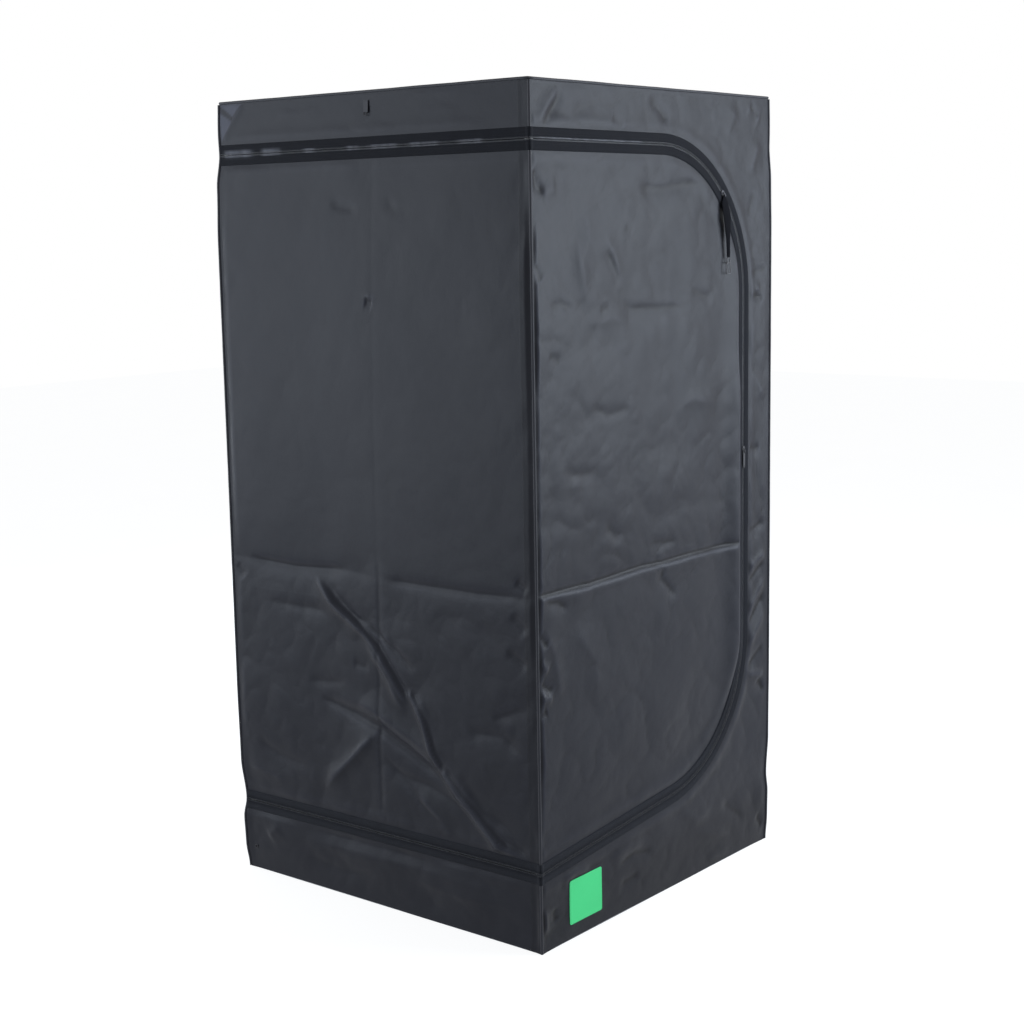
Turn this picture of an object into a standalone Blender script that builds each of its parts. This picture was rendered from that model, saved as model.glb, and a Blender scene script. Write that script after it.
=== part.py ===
"""Indoor grow tent: a tube frame inside a canvas cover with one zipped door that wraps two faces.

Lengths are metres with +Z up. The origin is on the ground at the middle of the footprint. The
front face looks along -Y and the left face along -X. The door folds at their shared near corner
and hangs from the rear left corner.
"""

from math import cos, exp, hypot, pi, radians, sin, tan

import bmesh
import bpy
from mathutils import Matrix, Vector

# Overall size over the corner pipings
WIDTH = 1.000
DEPTH = 1.000
HEIGHT = 2.000

# Clearances
SEAT = 0.0003
FRAME_CLEARANCE = 0.0015

# Canvas and corner piping
CANVAS = 0.001
PIPING_RADIUS = 0.0035
BINDING = 0.0006
BINDING_WIDTH = 0.032
FLOOR_CORNER_CUT = 0.008

# Tube frame
TUBE_RADIUS = 0.0095
TUBE_WALL = 0.001
CONNECTOR_LIP = 0.001
CONNECTOR_BEVEL = 0.0018
SPIGOT_LENGTH = 0.040
SWAGE_LENGTH = 0.050
SWAGE_TAPER = 0.004
POST_JOINT_SHARE = 0.5

# Hanging bars and their snap clips
BAR_RADIUS = 0.008
BAR_WALL = 0.001
CLIP_WALL = 0.0025
CLIP_WIDTH = 0.012
CLIP_ANGLE = radians(210)
BAR_FRONT_Y = -0.200
BAR_REAR_Y = 0.200

# Door zip line
ZIP_TOP_BAND = 0.132
ZIP_BOTTOM = 0.195
ZIP_BOTTOM_REAR = 0.187
ZIP_SIDE_MARGIN = 0.1215
DOOR_ARC = 0.368
ZIP_RUN_ANGLE = radians(5.5)
CANVAS_SETBACK = 0.009

# Zip tapes: a flat tape with a raised chain at its inner edge
TAPE = 0.0006
TAPE_WIDTH = 0.025
CHAIN_GAP = 0.001
CHAIN_WIDTH = 0.0035
CHAIN_HEIGHT = 0.0013

# Zip sliders
SLIDER_LENGTH = 0.022
SLIDER_WIDTH = 0.013
SLIDER_NOSE = 0.006
SLIDER_WING = 0.0015
SLIDER_FLANGE = 0.0012
SLIDER_POST_LENGTH = 0.005
REAR_WING = 0.0012
REAR_WING_LENGTH = 0.016
BRIDGE_LENGTH = 0.009
BRIDGE_WIDTH = 0.0022
BRIDGE_BAR = 0.0012
BRIDGE_HOLE = 0.0026
UPPER_SLIDER_ANGLE = radians(43)
LOWER_SLIDER_Z = 1.093

# Zip pulls
PULL = 0.0012
EYE_WIDTH = 0.0078
EYE_LENGTH = 0.0080
EYE_BAR = 0.0012
UPPER_PULL_LEAN = radians(12)
RIBBON_LENGTH = 0.150
RIBBON_TOP = 0.026
RIBBON_FOOT = 0.012
RING_RADIUS = 0.008
RING_BAR = 0.0025
LOOP_LENGTH = 0.030
LOOP_WIDTH = 0.021
TAB_LENGTH = 0.046
TAB_WIDTH = 0.009
TAB_HOLE = 0.003

# Door folds
FLAT_MARGIN = 0.080
FOLD_FADE = 0.060
DOOR_SWELL = 0.003
FOLD_HEIGHT = 0.006
FOLD_SPREAD = 0.045
CREASE_DEPTH = 0.003
CREASE_SPREAD = 0.030
CREASE_Z = 0.847
CREASE_Y = -0.015

# Ports, vent, tray and small pieces
SLEEVE = 0.001
SLEEVE_LENGTH = 0.060
REAR_DUCT_RADIUS = 0.100
REAR_DUCT_X = 0.000
REAR_DUCT_DROP = 0.360
SIDE_DUCT_RADIUS = 0.080
SIDE_DUCT_Y = 0.000
SIDE_DUCT_Z = 0.300
CABLE_RADIUS = 0.030
CABLE_MARGIN = 0.200
CABLE_DROP = 0.440
VENT_WIDTH = 0.400
VENT_HEIGHT = 0.200
VENT_Z = 0.320
VENT_SEAM = 0.020
MESH = 0.0008
TRAY = 0.001
TRAY_HEIGHT = 0.050
TRAY_CLEARANCE = 0.002
LABEL_WIDTH = 0.128
LABEL_HEIGHT = 0.110
LABEL_MARGIN = 0.174
LABEL_Z = 0.092
LABEL = 0.0006
LABEL_CORNER = 0.004
TIE_WIDTH = 0.014
TIE_HEIGHT = 0.030
TIE_DEPTH = 0.0025
TIE_WEB = 0.0008
TIE_Y = -0.013
TIE_TOP_DROP = 0.024

# Facet counts
TUBE_SIDES = 20
SPIGOT_SIDES = 16
CLIP_STEPS = 10
PIPING_SIDES = 8
ARC_STEPS = 24
SLEEVE_SIDES = 32
RING_SIDES = 12
DOOR_COLUMNS = 18
SIDE_ROWS = 26
PANEL_ARC_STEPS = 8
RUN_ROWS = 10

# Planes and centre lines
CONNECTOR = 2 * (TUBE_RADIUS + CONNECTOR_LIP)
SIDE_X = WIDTH / 2 - PIPING_RADIUS
SIDE_Y = DEPTH / 2 - PIPING_RADIUS
TOP_Z = HEIGHT - PIPING_RADIUS
EDGE_X = SIDE_X - PIPING_RADIUS - SEAT
EDGE_Y = SIDE_Y - PIPING_RADIUS - SEAT
EDGE_TOP = TOP_Z - PIPING_RADIUS - SEAT
SKIN = CANVAS / 2 + SEAT
FRAME_X = SIDE_X - CANVAS / 2 - FRAME_CLEARANCE - CONNECTOR / 2
FRAME_Y = SIDE_Y - CANVAS / 2 - FRAME_CLEARANCE - CONNECTOR / 2
FRAME_TOP = TOP_Z - CANVAS / 2 - FRAME_CLEARANCE - CONNECTOR / 2
FRAME_BOTTOM = CANVAS + SEAT + CONNECTOR / 2
ZIP_TOP = HEIGHT - ZIP_TOP_BAND
DOOR_RIGHT = SIDE_X - ZIP_SIDE_MARGIN
ARC_X = DOOR_RIGHT - DOOR_ARC
TOP_ARC_Z = ZIP_TOP - DOOR_ARC
POST_JOINT_Z = HEIGHT * POST_JOINT_SHARE
REAR_DUCT_Z = HEIGHT - REAR_DUCT_DROP
CABLE_Y = DEPTH / 2 - CABLE_MARGIN
CABLE_Z = HEIGHT - CABLE_DROP
LABEL_X = LABEL_MARGIN - WIDTH / 2

# Share values of the door's folds: start and end as shares of the panel's width from the near
# corner and of its height from the bottom
SIDE_FOLD_SHARES = (
    ((0.78, 0.40), (0.58, 0.32)),
    ((0.58, 0.32), (0.48, 0.25)),
    ((0.48, 0.25), (0.34, 0.16)),
    ((0.34, 0.16), (0.12, 0.04)),
    ((0.70, 0.18), (0.51, 0.16)),
    ((0.51, 0.16), (0.66, 0.07)),
)
FRONT_FOLD_SHARES = (
    ((0.18, 0.88), (0.34, 0.78)),
    ((0.36, 0.80), (0.66, 0.76)),
    ((0.10, 0.62), (0.20, 0.38)),
    ((0.50, 0.30), (0.80, 0.36)),
)


# Scene and materials


def clear_scene():
    for obj in list(bpy.data.objects):
        bpy.data.objects.remove(obj)


def finish(name, colour, roughness, metallic=0.0):
    """A plain Principled material."""
    material = bpy.data.materials.new(name)
    material.use_nodes = True
    shader = material.node_tree.nodes["Principled BSDF"]
    shader.inputs["Base Color"].default_value = (*colour, 1.0)
    shader.inputs["Roughness"].default_value = roughness
    shader.inputs["Metallic"].default_value = metallic
    return material


# Meshes


def add_object(name, bm, material, pivot=None, smooth=False):
    """Turns a bmesh in world places into an object, whose origin is its pivot's if it has one."""
    bmesh.ops.recalc_face_normals(bm, faces=bm.faces)
    if pivot is not None:
        bmesh.ops.translate(bm, verts=bm.verts, vec=-pivot["place"])
    mesh = bpy.data.meshes.new(name)
    bm.to_mesh(mesh)
    bm.free()
    if smooth:
        mesh.shade_smooth()
        mesh.set_sharp_from_angle(angle=radians(35))
    mesh.materials.append(material)
    obj = bpy.data.objects.new(name, mesh)
    bpy.context.scene.collection.objects.link(obj)
    if pivot is not None:
        obj.parent = pivot["empty"]
    return obj


def add_pivot(name, place, parent=None):
    """An empty on a joint's axis. Its place is in world coordinates."""
    empty = bpy.data.objects.new(name, None)
    bpy.context.scene.collection.objects.link(empty)
    start = Vector((0, 0, 0))
    if parent is not None:
        empty.parent = parent["empty"]
        start = parent["place"]
    empty.location = Vector(place) - start
    return {"empty": empty, "place": Vector(place)}


def joined_bmesh(shapes, operation="UNION"):
    """One bmesh from several, by Boolean operations on the first."""
    made = []
    for index, bm in enumerate(shapes):
        bmesh.ops.recalc_face_normals(bm, faces=bm.faces)
        mesh = bpy.data.meshes.new(f"shape_{index}")
        bm.to_mesh(mesh)
        bm.free()
        obj = bpy.data.objects.new(f"shape_{index}", mesh)
        bpy.context.scene.collection.objects.link(obj)
        made.append(obj)
    base = made[0]
    for other in made[1:]:
        modifier = base.modifiers.new(other.name, "BOOLEAN")
        modifier.object = other
        modifier.operation = operation
    depsgraph = bpy.context.evaluated_depsgraph_get()
    mesh = bpy.data.meshes.new_from_object(base.evaluated_get(depsgraph))
    result = bmesh.new()
    result.from_mesh(mesh)
    for obj in made:
        bpy.data.objects.remove(obj)
    bpy.data.meshes.remove(mesh)
    return result


def box(low, high, bevel=0, segments=1):
    """A box between two corners, with bevelled edges if asked."""
    bm = bmesh.new()
    bmesh.ops.create_cube(bm, size=1)
    size = Vector(high) - Vector(low)
    bmesh.ops.scale(bm, verts=bm.verts, vec=size)
    bmesh.ops.translate(bm, verts=bm.verts, vec=(Vector(low) + Vector(high)) / 2)
    if bevel:
        bmesh.ops.bevel(bm, geom=bm.edges[:], offset=bevel, segments=segments, affect="EDGES")
    return bm


def prism(points, low, high, place):
    """A flat outline of (a, b) points given thickness from low to high; place maps (a, b, c)."""
    bm = bmesh.new()
    ends = [[bm.verts.new(place(a, b, c)) for a, b in points] for c in (low, high)]
    bm.faces.new(ends[0])
    bm.faces.new(ends[1])
    for i in range(len(points)):
        j = (i + 1) % len(points)
        bm.faces.new((ends[0][i], ends[0][j], ends[1][j], ends[1][i]))
    return bm


def turned(profile, sides):
    """A closed (radius, height) outline turned round Z."""
    bm = bmesh.new()
    rings = []
    for k in range(sides):
        angle = 2 * pi * k / sides
        rings.append([bm.verts.new((r * cos(angle), r * sin(angle), z)) for r, z in profile])
    for k in range(sides):
        ring, following = rings[k], rings[(k + 1) % sides]
        for i in range(len(profile)):
            j = (i + 1) % len(profile)
            bm.faces.new((ring[i], ring[j], following[j], following[i]))
    return bm


def rod(start, end, radius, sides):
    """A solid rod between two points."""
    start, end = Vector(start), Vector(end)
    bm = bmesh.new()
    bmesh.ops.create_cone(
        bm,
        cap_ends=True,
        segments=sides,
        radius1=radius,
        radius2=radius,
        depth=(end - start).length,
    )
    turn = Vector((0, 0, 1)).rotation_difference(end - start).to_matrix().to_4x4()
    bmesh.ops.transform(bm, verts=bm.verts, matrix=Matrix.Translation((start + end) / 2) @ turn)
    return bm


def tube(start, end, radius, wall, sides):
    """An open tube between two points."""
    start, end = Vector(start), Vector(end)
    half = (end - start).length / 2
    inner = radius - wall
    bm = turned([(inner, -half), (radius, -half), (radius, half), (inner, half)], sides)
    turn = Vector((0, 0, 1)).rotation_difference(end - start).to_matrix().to_4x4()
    bmesh.ops.transform(bm, verts=bm.verts, matrix=Matrix.Translation((start + end) / 2) @ turn)
    return bm


def circle(centre, radius, sides, start=0.0):
    """Points of a circle, the first one at the start angle."""
    return [
        (
            centre[0] + radius * cos(start + 2 * pi * k / sides),
            centre[1] + radius * sin(start + 2 * pi * k / sides),
        )
        for k in range(sides)
    ]


def on_z(a, b, c):
    return (a, b, c)


def on_front(a, b, c):
    """(x, z, height off the front face) as a place."""
    return (a, -SIDE_Y - c, b)


def on_left(a, b, c):
    """(y, z, height off the left face) as a place."""
    return (-SIDE_X - c, a, b)


# Frame


def connector(x_side, y_side, z_side, z_centre):
    """A three-way corner block with a spigot for each tube, pointing into the frame."""
    centre = Vector((x_side * FRAME_X, y_side * FRAME_Y, z_centre))
    half = Vector((CONNECTOR, CONNECTOR, CONNECTOR)) / 2
    shapes = [box(centre - half, centre + half, CONNECTOR_BEVEL, 2)]
    radius = TUBE_RADIUS - TUBE_WALL - SEAT
    reach = CONNECTOR / 2 + SPIGOT_LENGTH
    for axis in ((-x_side, 0, 0), (0, -y_side, 0), (0, 0, z_side)):
        shapes.append(rod(centre, centre + Vector(axis) * reach, radius, SPIGOT_SIDES))
    return joined_bmesh(shapes)


def add_connectors(plastic):
    for level, z_side, z_centre in (("bottom", 1, FRAME_BOTTOM), ("top", -1, FRAME_TOP)):
        for depth_word, y_side in (("front", -1), ("rear", 1)):
            for side_word, x_side in (("left", -1), ("right", 1)):
                name = f"corner_connector_{level}_{depth_word}_{side_word}"
                bm = connector(x_side, y_side, z_side, z_centre)
                add_object(name, bm, plastic, smooth=True)


def lower_post():
    """The lower half of a post, a plain tube."""
    inner = TUBE_RADIUS - TUBE_WALL
    foot = FRAME_BOTTOM + CONNECTOR / 2 + SEAT
    head = POST_JOINT_Z
    return turned([(inner, foot), (TUBE_RADIUS, foot), (TUBE_RADIUS, head), (inner, head)], TUBE_SIDES)


def upper_post():
    """The upper half of a post, drawn in at its foot to slide into the lower half."""
    inner = TUBE_RADIUS - TUBE_WALL
    swage = inner - SEAT
    foot = POST_JOINT_Z + SEAT
    head = FRAME_TOP - CONNECTOR / 2 - SEAT
    profile = [
        (swage - TUBE_WALL, foot - SWAGE_LENGTH),
        (swage, foot - SWAGE_LENGTH),
        (swage, foot),
        (TUBE_RADIUS, foot),
        (TUBE_RADIUS, head),
        (inner, head),
        (inner, foot + SWAGE_TAPER),
        (swage - TUBE_WALL, foot),
    ]
    return turned(profile, TUBE_SIDES)


def add_posts(steel):
    for depth_word, y_side in (("front", -1), ("rear", 1)):
        for side_word, x_side in (("left", -1), ("right", 1)):
            place = Vector((x_side * FRAME_X, y_side * FRAME_Y, 0))
            for half_word, make in (("lower", lower_post), ("upper", upper_post)):
                bm = make()
                bmesh.ops.translate(bm, verts=bm.verts, vec=place)
                add_object(f"post_{half_word}_{depth_word}_{side_word}", bm, steel, smooth=True)


def add_rails(steel):
    x_end = FRAME_X - CONNECTOR / 2 - SEAT
    y_end = FRAME_Y - CONNECTOR / 2 - SEAT
    for level, z in (("bottom", FRAME_BOTTOM), ("top", FRAME_TOP)):
        for word, side in (("front", -1), ("rear", 1)):
            y = side * FRAME_Y
            bm = tube((-x_end, y, z), (x_end, y, z), TUBE_RADIUS, TUBE_WALL, TUBE_SIDES)
            add_object(f"{level}_rail_{word}", bm, steel, smooth=True)
        for word, side in (("left", -1), ("right", 1)):
            x = side * FRAME_X
            bm = tube((x, -y_end, z), (x, y_end, z), TUBE_RADIUS, TUBE_WALL, TUBE_SIDES)
            add_object(f"{level}_rail_{word}", bm, steel, smooth=True)


def clip_outline(side):
    """(x, z) outline of a clip that hooks the rail from inside and below."""
    middle = -pi / 4 if side < 0 else -3 * pi / 4
    inner, outer = TUBE_RADIUS, TUBE_RADIUS + SEAT + CLIP_WALL
    angles = [middle - CLIP_ANGLE / 2 + CLIP_ANGLE * k / CLIP_STEPS for k in range(CLIP_STEPS + 1)]
    centre = side * FRAME_X
    points = [(centre + outer * cos(a), FRAME_TOP + outer * sin(a)) for a in angles]
    points += [(centre + inner * cos(a), FRAME_TOP + inner * sin(a)) for a in reversed(angles)]
    return points


def add_hanging_bar(name, y, steel):
    """A cross bar whose end clips snap onto the left and right top rails and slide along them."""
    pivot = add_pivot(f"{name}_slide", (0, y, FRAME_TOP))
    bar = tube((-FRAME_X, y, FRAME_TOP), (FRAME_X, y, FRAME_TOP), BAR_RADIUS, BAR_WALL, TUBE_SIDES)
    low, high = y - CLIP_WIDTH / 2, y + CLIP_WIDTH / 2
    clips = [prism(clip_outline(side), low, high, lambda a, b, c: (a, c, b)) for side in (-1, 1)]
    body = joined_bmesh([bar] + clips)
    rails = []
    for side in (-1, 1):
        x = side * FRAME_X
        ends = (x, y - CONNECTOR, FRAME_TOP), (x, y + CONNECTOR, FRAME_TOP)
        rails.append(rod(*ends, TUBE_RADIUS + SEAT, SLEEVE_SIDES))
    add_object(name, joined_bmesh([body] + rails, "DIFFERENCE"), steel, pivot, smooth=True)


# Canvas shell


def door_outline(offset, arc_steps):
    """(x, z) points of the door's zip line moved outward by offset, from its foot to its head."""
    radius = DOOR_ARC + offset
    turn = ZIP_RUN_ANGLE
    run = SIDE_X + ARC_X + DOOR_ARC * sin(turn)
    arc_z = ZIP_BOTTOM + run * tan(turn) + DOOR_ARC * cos(turn)
    start_x = ARC_X + radius * sin(turn)
    start_z = arc_z - radius * cos(turn)
    points = [(-EDGE_X, start_z - (start_x + EDGE_X) * tan(turn))]
    first = -pi / 2 + turn
    for k in range(arc_steps + 1):
        angle = first - first * k / arc_steps
        points.append((ARC_X + radius * cos(angle), arc_z + radius * sin(angle)))
    for k in range(arc_steps + 1):
        angle = pi / 2 * k / arc_steps
        points.append((ARC_X + radius * cos(angle), TOP_ARC_Z + radius * sin(angle)))
    points.append((-EDGE_X, ZIP_TOP + offset))
    return points


def side_zip_z(y):
    """Height of the bottom zip on the left face."""
    return ZIP_BOTTOM + (ZIP_BOTTOM_REAR - ZIP_BOTTOM) * (y + SIDE_Y) / (2 * SIDE_Y)


def floor_outline():
    """(x, y) outline of the floor, with its corners cut off inside the pipings."""
    x, y = SIDE_X - SKIN, SIDE_Y - SKIN
    cut_x, cut_y = x - FLOOR_CORNER_CUT, y - FLOOR_CORNER_CUT
    right = [(cut_x, -y), (x, -cut_y), (x, cut_y), (cut_x, y)]
    return right + [(-a, b) for a, b in reversed(right)]


def add_shell(canvas, lining):
    """The canvas panels that the frame carries and that don't move."""
    half = CANVAS / 2
    roof = box((-EDGE_X, -EDGE_Y, TOP_Z - half), (EDGE_X, EDGE_Y, TOP_Z + half))
    add_object("roof_panel", roof, canvas)
    add_object("floor_panel", prism(floor_outline(), 0, CANVAS, on_z), lining)

    surround = door_outline(CANVAS_SETBACK, ARC_STEPS)
    surround += [(-EDGE_X, EDGE_TOP), (EDGE_X, EDGE_TOP), (EDGE_X, 0), (-EDGE_X, 0)]
    add_object("front_surround", prism(surround, -half, half, on_front), canvas)

    band = box((-SIDE_X - half, -EDGE_Y, ZIP_TOP + CANVAS_SETBACK), (-SIDE_X + half, EDGE_Y, EDGE_TOP))
    add_object("side_top_band", band, canvas)
    skirt = [
        (-EDGE_Y, 0),
        (EDGE_Y, 0),
        (EDGE_Y, side_zip_z(EDGE_Y) - CANVAS_SETBACK),
        (-EDGE_Y, side_zip_z(-EDGE_Y) - CANVAS_SETBACK),
    ]
    add_object("side_skirt", prism(skirt, -half, half, on_left), canvas)


def add_rear_panel(canvas):
    """The rear panel with the exhaust port and the vent cut through it."""
    half = CANVAS / 2
    panel = box((-EDGE_X, SIDE_Y - half, 0), (EDGE_X, SIDE_Y + half, EDGE_TOP))
    near, far = SIDE_Y - SLEEVE_LENGTH, SIDE_Y + SLEEVE_LENGTH
    ends = (REAR_DUCT_X, near, REAR_DUCT_Z), (REAR_DUCT_X, far, REAR_DUCT_Z)
    port = rod(*ends, REAR_DUCT_RADIUS, SLEEVE_SIDES)
    low = (-VENT_WIDTH / 2, near, VENT_Z - VENT_HEIGHT / 2)
    high = (VENT_WIDTH / 2, far, VENT_Z + VENT_HEIGHT / 2)
    add_object("rear_panel", joined_bmesh([panel, port, box(low, high)], "DIFFERENCE"), canvas)


def add_right_panel(canvas):
    """The right panel with the intake and cable ports cut through it."""
    half = CANVAS / 2
    panel = box((SIDE_X - half, -EDGE_Y, 0), (SIDE_X + half, EDGE_Y, EDGE_TOP))
    cutters = []
    for y, z, radius in (
        (SIDE_DUCT_Y, SIDE_DUCT_Z, SIDE_DUCT_RADIUS),
        (CABLE_Y, CABLE_Z, CABLE_RADIUS),
    ):
        ends = (SIDE_X - SLEEVE_LENGTH, y, z), (SIDE_X + SLEEVE_LENGTH, y, z)
        cutters.append(rod(*ends, radius, SLEEVE_SIDES))
    add_object("right_panel", joined_bmesh([panel] + cutters, "DIFFERENCE"), canvas)


# Corner piping


def near_corner_outline():
    """(x, y) outline of the near corner's piping with its flat binding on the left face."""
    inner = SKIN
    outer = SKIN + BINDING
    fall = tan(pi / PIPING_SIDES)
    round_points = circle((0, 0), PIPING_RADIUS, PIPING_SIDES)
    quarter = PIPING_SIDES // 4
    points = round_points[: quarter + 1]
    points.append((-inner, PIPING_RADIUS - inner * fall))
    points.append((-inner, BINDING_WIDTH))
    points.append((-outer, BINDING_WIDTH))
    points.append((-outer, PIPING_RADIUS - outer * fall))
    points += round_points[quarter + 1 :]
    return [(x - SIDE_X, y - SIDE_Y) for x, y in points]


def add_corner_pipings(piping, door_side):
    for word, x_side, y_side in (("front_right", 1, -1), ("rear_left", -1, 1), ("rear_right", 1, 1)):
        points = circle((x_side * SIDE_X, y_side * SIDE_Y), PIPING_RADIUS, PIPING_SIDES)
        add_object(f"corner_piping_{word}", prism(points, 0, EDGE_TOP, on_z), piping)
    outline = near_corner_outline()
    top = prism(outline, ZIP_TOP + CHAIN_GAP, EDGE_TOP, on_z)
    add_object("near_corner_piping_top", top, piping)
    bottom = prism(outline, 0, ZIP_BOTTOM - CHAIN_GAP, on_z)
    add_object("near_corner_piping_bottom", bottom, piping)
    middle = prism(outline, ZIP_BOTTOM + CHAIN_GAP, ZIP_TOP - CHAIN_GAP, on_z)
    add_object("door_corner_piping", middle, piping, door_side)


def add_top_piping(piping):
    """A round piping along the four top edges, mitred at the corners."""
    bm = bmesh.new()
    rings = []
    for x_side, y_side in ((-1, -1), (1, -1), (1, 1), (-1, 1)):
        ring = []
        for across, up in circle((0, 0), PIPING_RADIUS, PIPING_SIDES):
            place = (x_side * (SIDE_X + across), y_side * (SIDE_Y + across), TOP_Z + up)
            ring.append(bm.verts.new(place))
        rings.append(ring)
    for k in range(len(rings)):
        ring, following = rings[k], rings[(k + 1) % len(rings)]
        for i in range(PIPING_SIDES):
            j = (i + 1) % PIPING_SIDES
            bm.faces.new((ring[i], ring[j], following[j], following[i]))
    add_object("top_edge_piping", bm, piping)


# Zip tapes


def tape_section(side):
    """(offset from the zip line, height off the panel) outline; side is 1 on the frame's side."""
    base = SKIN
    flat = base + TAPE
    raised = flat + CHAIN_HEIGHT
    chain_end = CHAIN_GAP + CHAIN_WIDTH
    outline = [
        (CHAIN_GAP, base),
        (TAPE_WIDTH, base),
        (TAPE_WIDTH, flat),
        (chain_end, flat),
        (chain_end, raised),
        (CHAIN_GAP, raised),
    ]
    return [(side * offset, height) for offset, height in outline]


def zip_strip(section, line, place):
    """Sweeps a tape section along a zip line given as a function of the offset from it."""
    bm = bmesh.new()
    runs = [[bm.verts.new(place(a, b, height)) for a, b in line(offset)] for offset, height in section]
    count = len(runs)
    for i in range(count):
        near, far = runs[i], runs[(i + 1) % count]
        for k in range(len(near) - 1):
            bm.faces.new((near[k], near[k + 1], far[k + 1], far[k]))
    bm.faces.new([run[0] for run in runs])
    bm.faces.new([run[-1] for run in runs])
    return bm


def side_top_line(offset):
    start = -SIDE_Y + BINDING_WIDTH + SEAT
    return [(start, ZIP_TOP + offset), (EDGE_Y, ZIP_TOP + offset)]


def side_bottom_line(offset):
    start = -SIDE_Y + BINDING_WIDTH + SEAT
    return [(start, side_zip_z(start) - offset), (EDGE_Y, side_zip_z(EDGE_Y) - offset)]


def front_line(offset):
    return door_outline(offset, ARC_STEPS)


def add_zip_tapes(tape, door_side, door_front):
    for word, side, side_pivot, front_pivot in (
        ("frame", 1, None, None),
        ("door", -1, door_side, door_front),
    ):
        section = tape_section(side)
        add_object(f"zip_tape_{word}_front", zip_strip(section, front_line, on_front), tape, front_pivot)
        top = zip_strip(section, side_top_line, on_left)
        add_object(f"zip_tape_{word}_side_top", top, tape, side_pivot)
        bottom = zip_strip(section, side_bottom_line, on_left)
        add_object(f"zip_tape_{word}_side_bottom", bottom, tape, side_pivot)


# Door panels


def line_distance(point, start, end):
    """Distance from a point to the stretch between two others."""
    along = (end[0] - start[0], end[1] - start[1])
    from_start = (point[0] - start[0], point[1] - start[1])
    length_squared = along[0] ** 2 + along[1] ** 2
    t = (from_start[0] * along[0] + from_start[1] * along[1]) / length_squared
    t = min(1.0, max(0.0, t))
    return hypot(from_start[0] - t * along[0], from_start[1] - t * along[1])


def fold_rise(point, low, high, fold_shares):
    """How far the folds lift the cloth at a point, for folds given in shares of the panel."""
    rise = 0
    for start, end in fold_shares:
        places = [
            (low[0] + (high[0] - low[0]) * share[0], low[1] + (high[1] - low[1]) * share[1])
            for share in (start, end)
        ]
        distance = line_distance(point, *places)
        rise = max(rise, FOLD_HEIGHT * exp(-((distance / FOLD_SPREAD) ** 2)))
    return rise


def faded(distance):
    """0 on a held edge, rising smoothly to 1 where the cloth is free."""
    t = min(1.0, max(0.0, distance / FOLD_FADE))
    return t * t * (3 - 2 * t)


def sheet_solid(rows, place):
    """A closed sheet from rows of (a, b, rise) points, one canvas thick."""
    bm = bmesh.new()
    skins = []
    for height in (CANVAS / 2, -CANVAS / 2):
        skins.append([[bm.verts.new(place(a, b, rise + height)) for a, b, rise in row] for row in rows])
    last_row, last_column = len(rows) - 1, len(rows[0]) - 1
    for skin in skins:
        for i in range(last_row):
            for j in range(last_column):
                bm.faces.new((skin[i][j], skin[i][j + 1], skin[i + 1][j + 1], skin[i + 1][j]))
    outer, inner = skins
    for i in range(last_row):
        for j in (0, last_column):
            bm.faces.new((outer[i][j], outer[i + 1][j], inner[i + 1][j], inner[i][j]))
    for j in range(last_column):
        for i in (0, last_row):
            bm.faces.new((outer[i][j], outer[i][j + 1], inner[i][j + 1], inner[i][j]))
    return bm


def side_panel_rows():
    """Rows from the bottom zip to the top zip, from the near corner to the hinge."""
    top = ZIP_TOP - CANVAS_SETBACK
    low, high = (-EDGE_Y, ZIP_BOTTOM), (EDGE_Y, ZIP_TOP)
    rows = []
    for i in range(SIDE_ROWS + 1):
        row = []
        for j in range(DOOR_COLUMNS + 1):
            y = -EDGE_Y + 2 * EDGE_Y * j / DOOR_COLUMNS
            bottom = side_zip_z(y) + CANVAS_SETBACK
            z = bottom + (top - bottom) * i / SIDE_ROWS
            rise = DOOR_SWELL + fold_rise((y, z), low, high, SIDE_FOLD_SHARES)
            rise -= CREASE_DEPTH * exp(-(((z - CREASE_Z) / CREASE_SPREAD) ** 2))
            rise -= CREASE_DEPTH * exp(-(((y - CREASE_Y) / CREASE_SPREAD) ** 2))
            held = min(z - side_zip_z(y), ZIP_TOP - z, y + SIDE_Y) - FLAT_MARGIN
            row.append((y, z, max(0, rise) * faded(held) * faded(EDGE_Y - y)))
        rows.append(row)
    return rows


def front_panel_rows():
    """Rows from the bottom zip to the top zip, from the near corner to the zip line."""
    zip_line = door_outline(0, PANEL_ARC_STEPS)
    outline = door_outline(-CANVAS_SETBACK, PANEL_ARC_STEPS)
    ends = outline[1 : PANEL_ARC_STEPS + 2]
    run_start, run_end = outline[PANEL_ARC_STEPS + 1], outline[PANEL_ARC_STEPS + 2]
    for k in range(1, RUN_ROWS):
        t = k / RUN_ROWS
        ends.append((run_start[0], run_start[1] + (run_end[1] - run_start[1]) * t))
    ends += outline[PANEL_ARC_STEPS + 2 : -1]
    foot, head = outline[0][1], outline[-1][1]
    low, high = (-EDGE_X, foot), (DOOR_RIGHT, head)
    rows = []
    for end in ends:
        height = (end[1] - ends[0][1]) / (ends[-1][1] - ends[0][1])
        z_start = foot + (head - foot) * height
        row = []
        for j in range(DOOR_COLUMNS + 1):
            t = j / DOOR_COLUMNS
            x = -EDGE_X + (end[0] + EDGE_X) * t
            z = z_start + (end[1] - z_start) * t
            rise = DOOR_SWELL + fold_rise((x, z), low, high, FRONT_FOLD_SHARES)
            rise -= CREASE_DEPTH * exp(-(((z - CREASE_Z) / CREASE_SPREAD) ** 2))
            held = end_distance((x, z), zip_line) - FLAT_MARGIN
            row.append((x, z, max(0, rise) * faded(held) * faded(x + EDGE_X)))
        rows.append(row)
    return rows


def end_distance(point, outline):
    """Distance from a point to the nearest stretch of an outline."""
    return min(line_distance(point, a, b) for a, b in zip(outline, outline[1:]))


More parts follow.
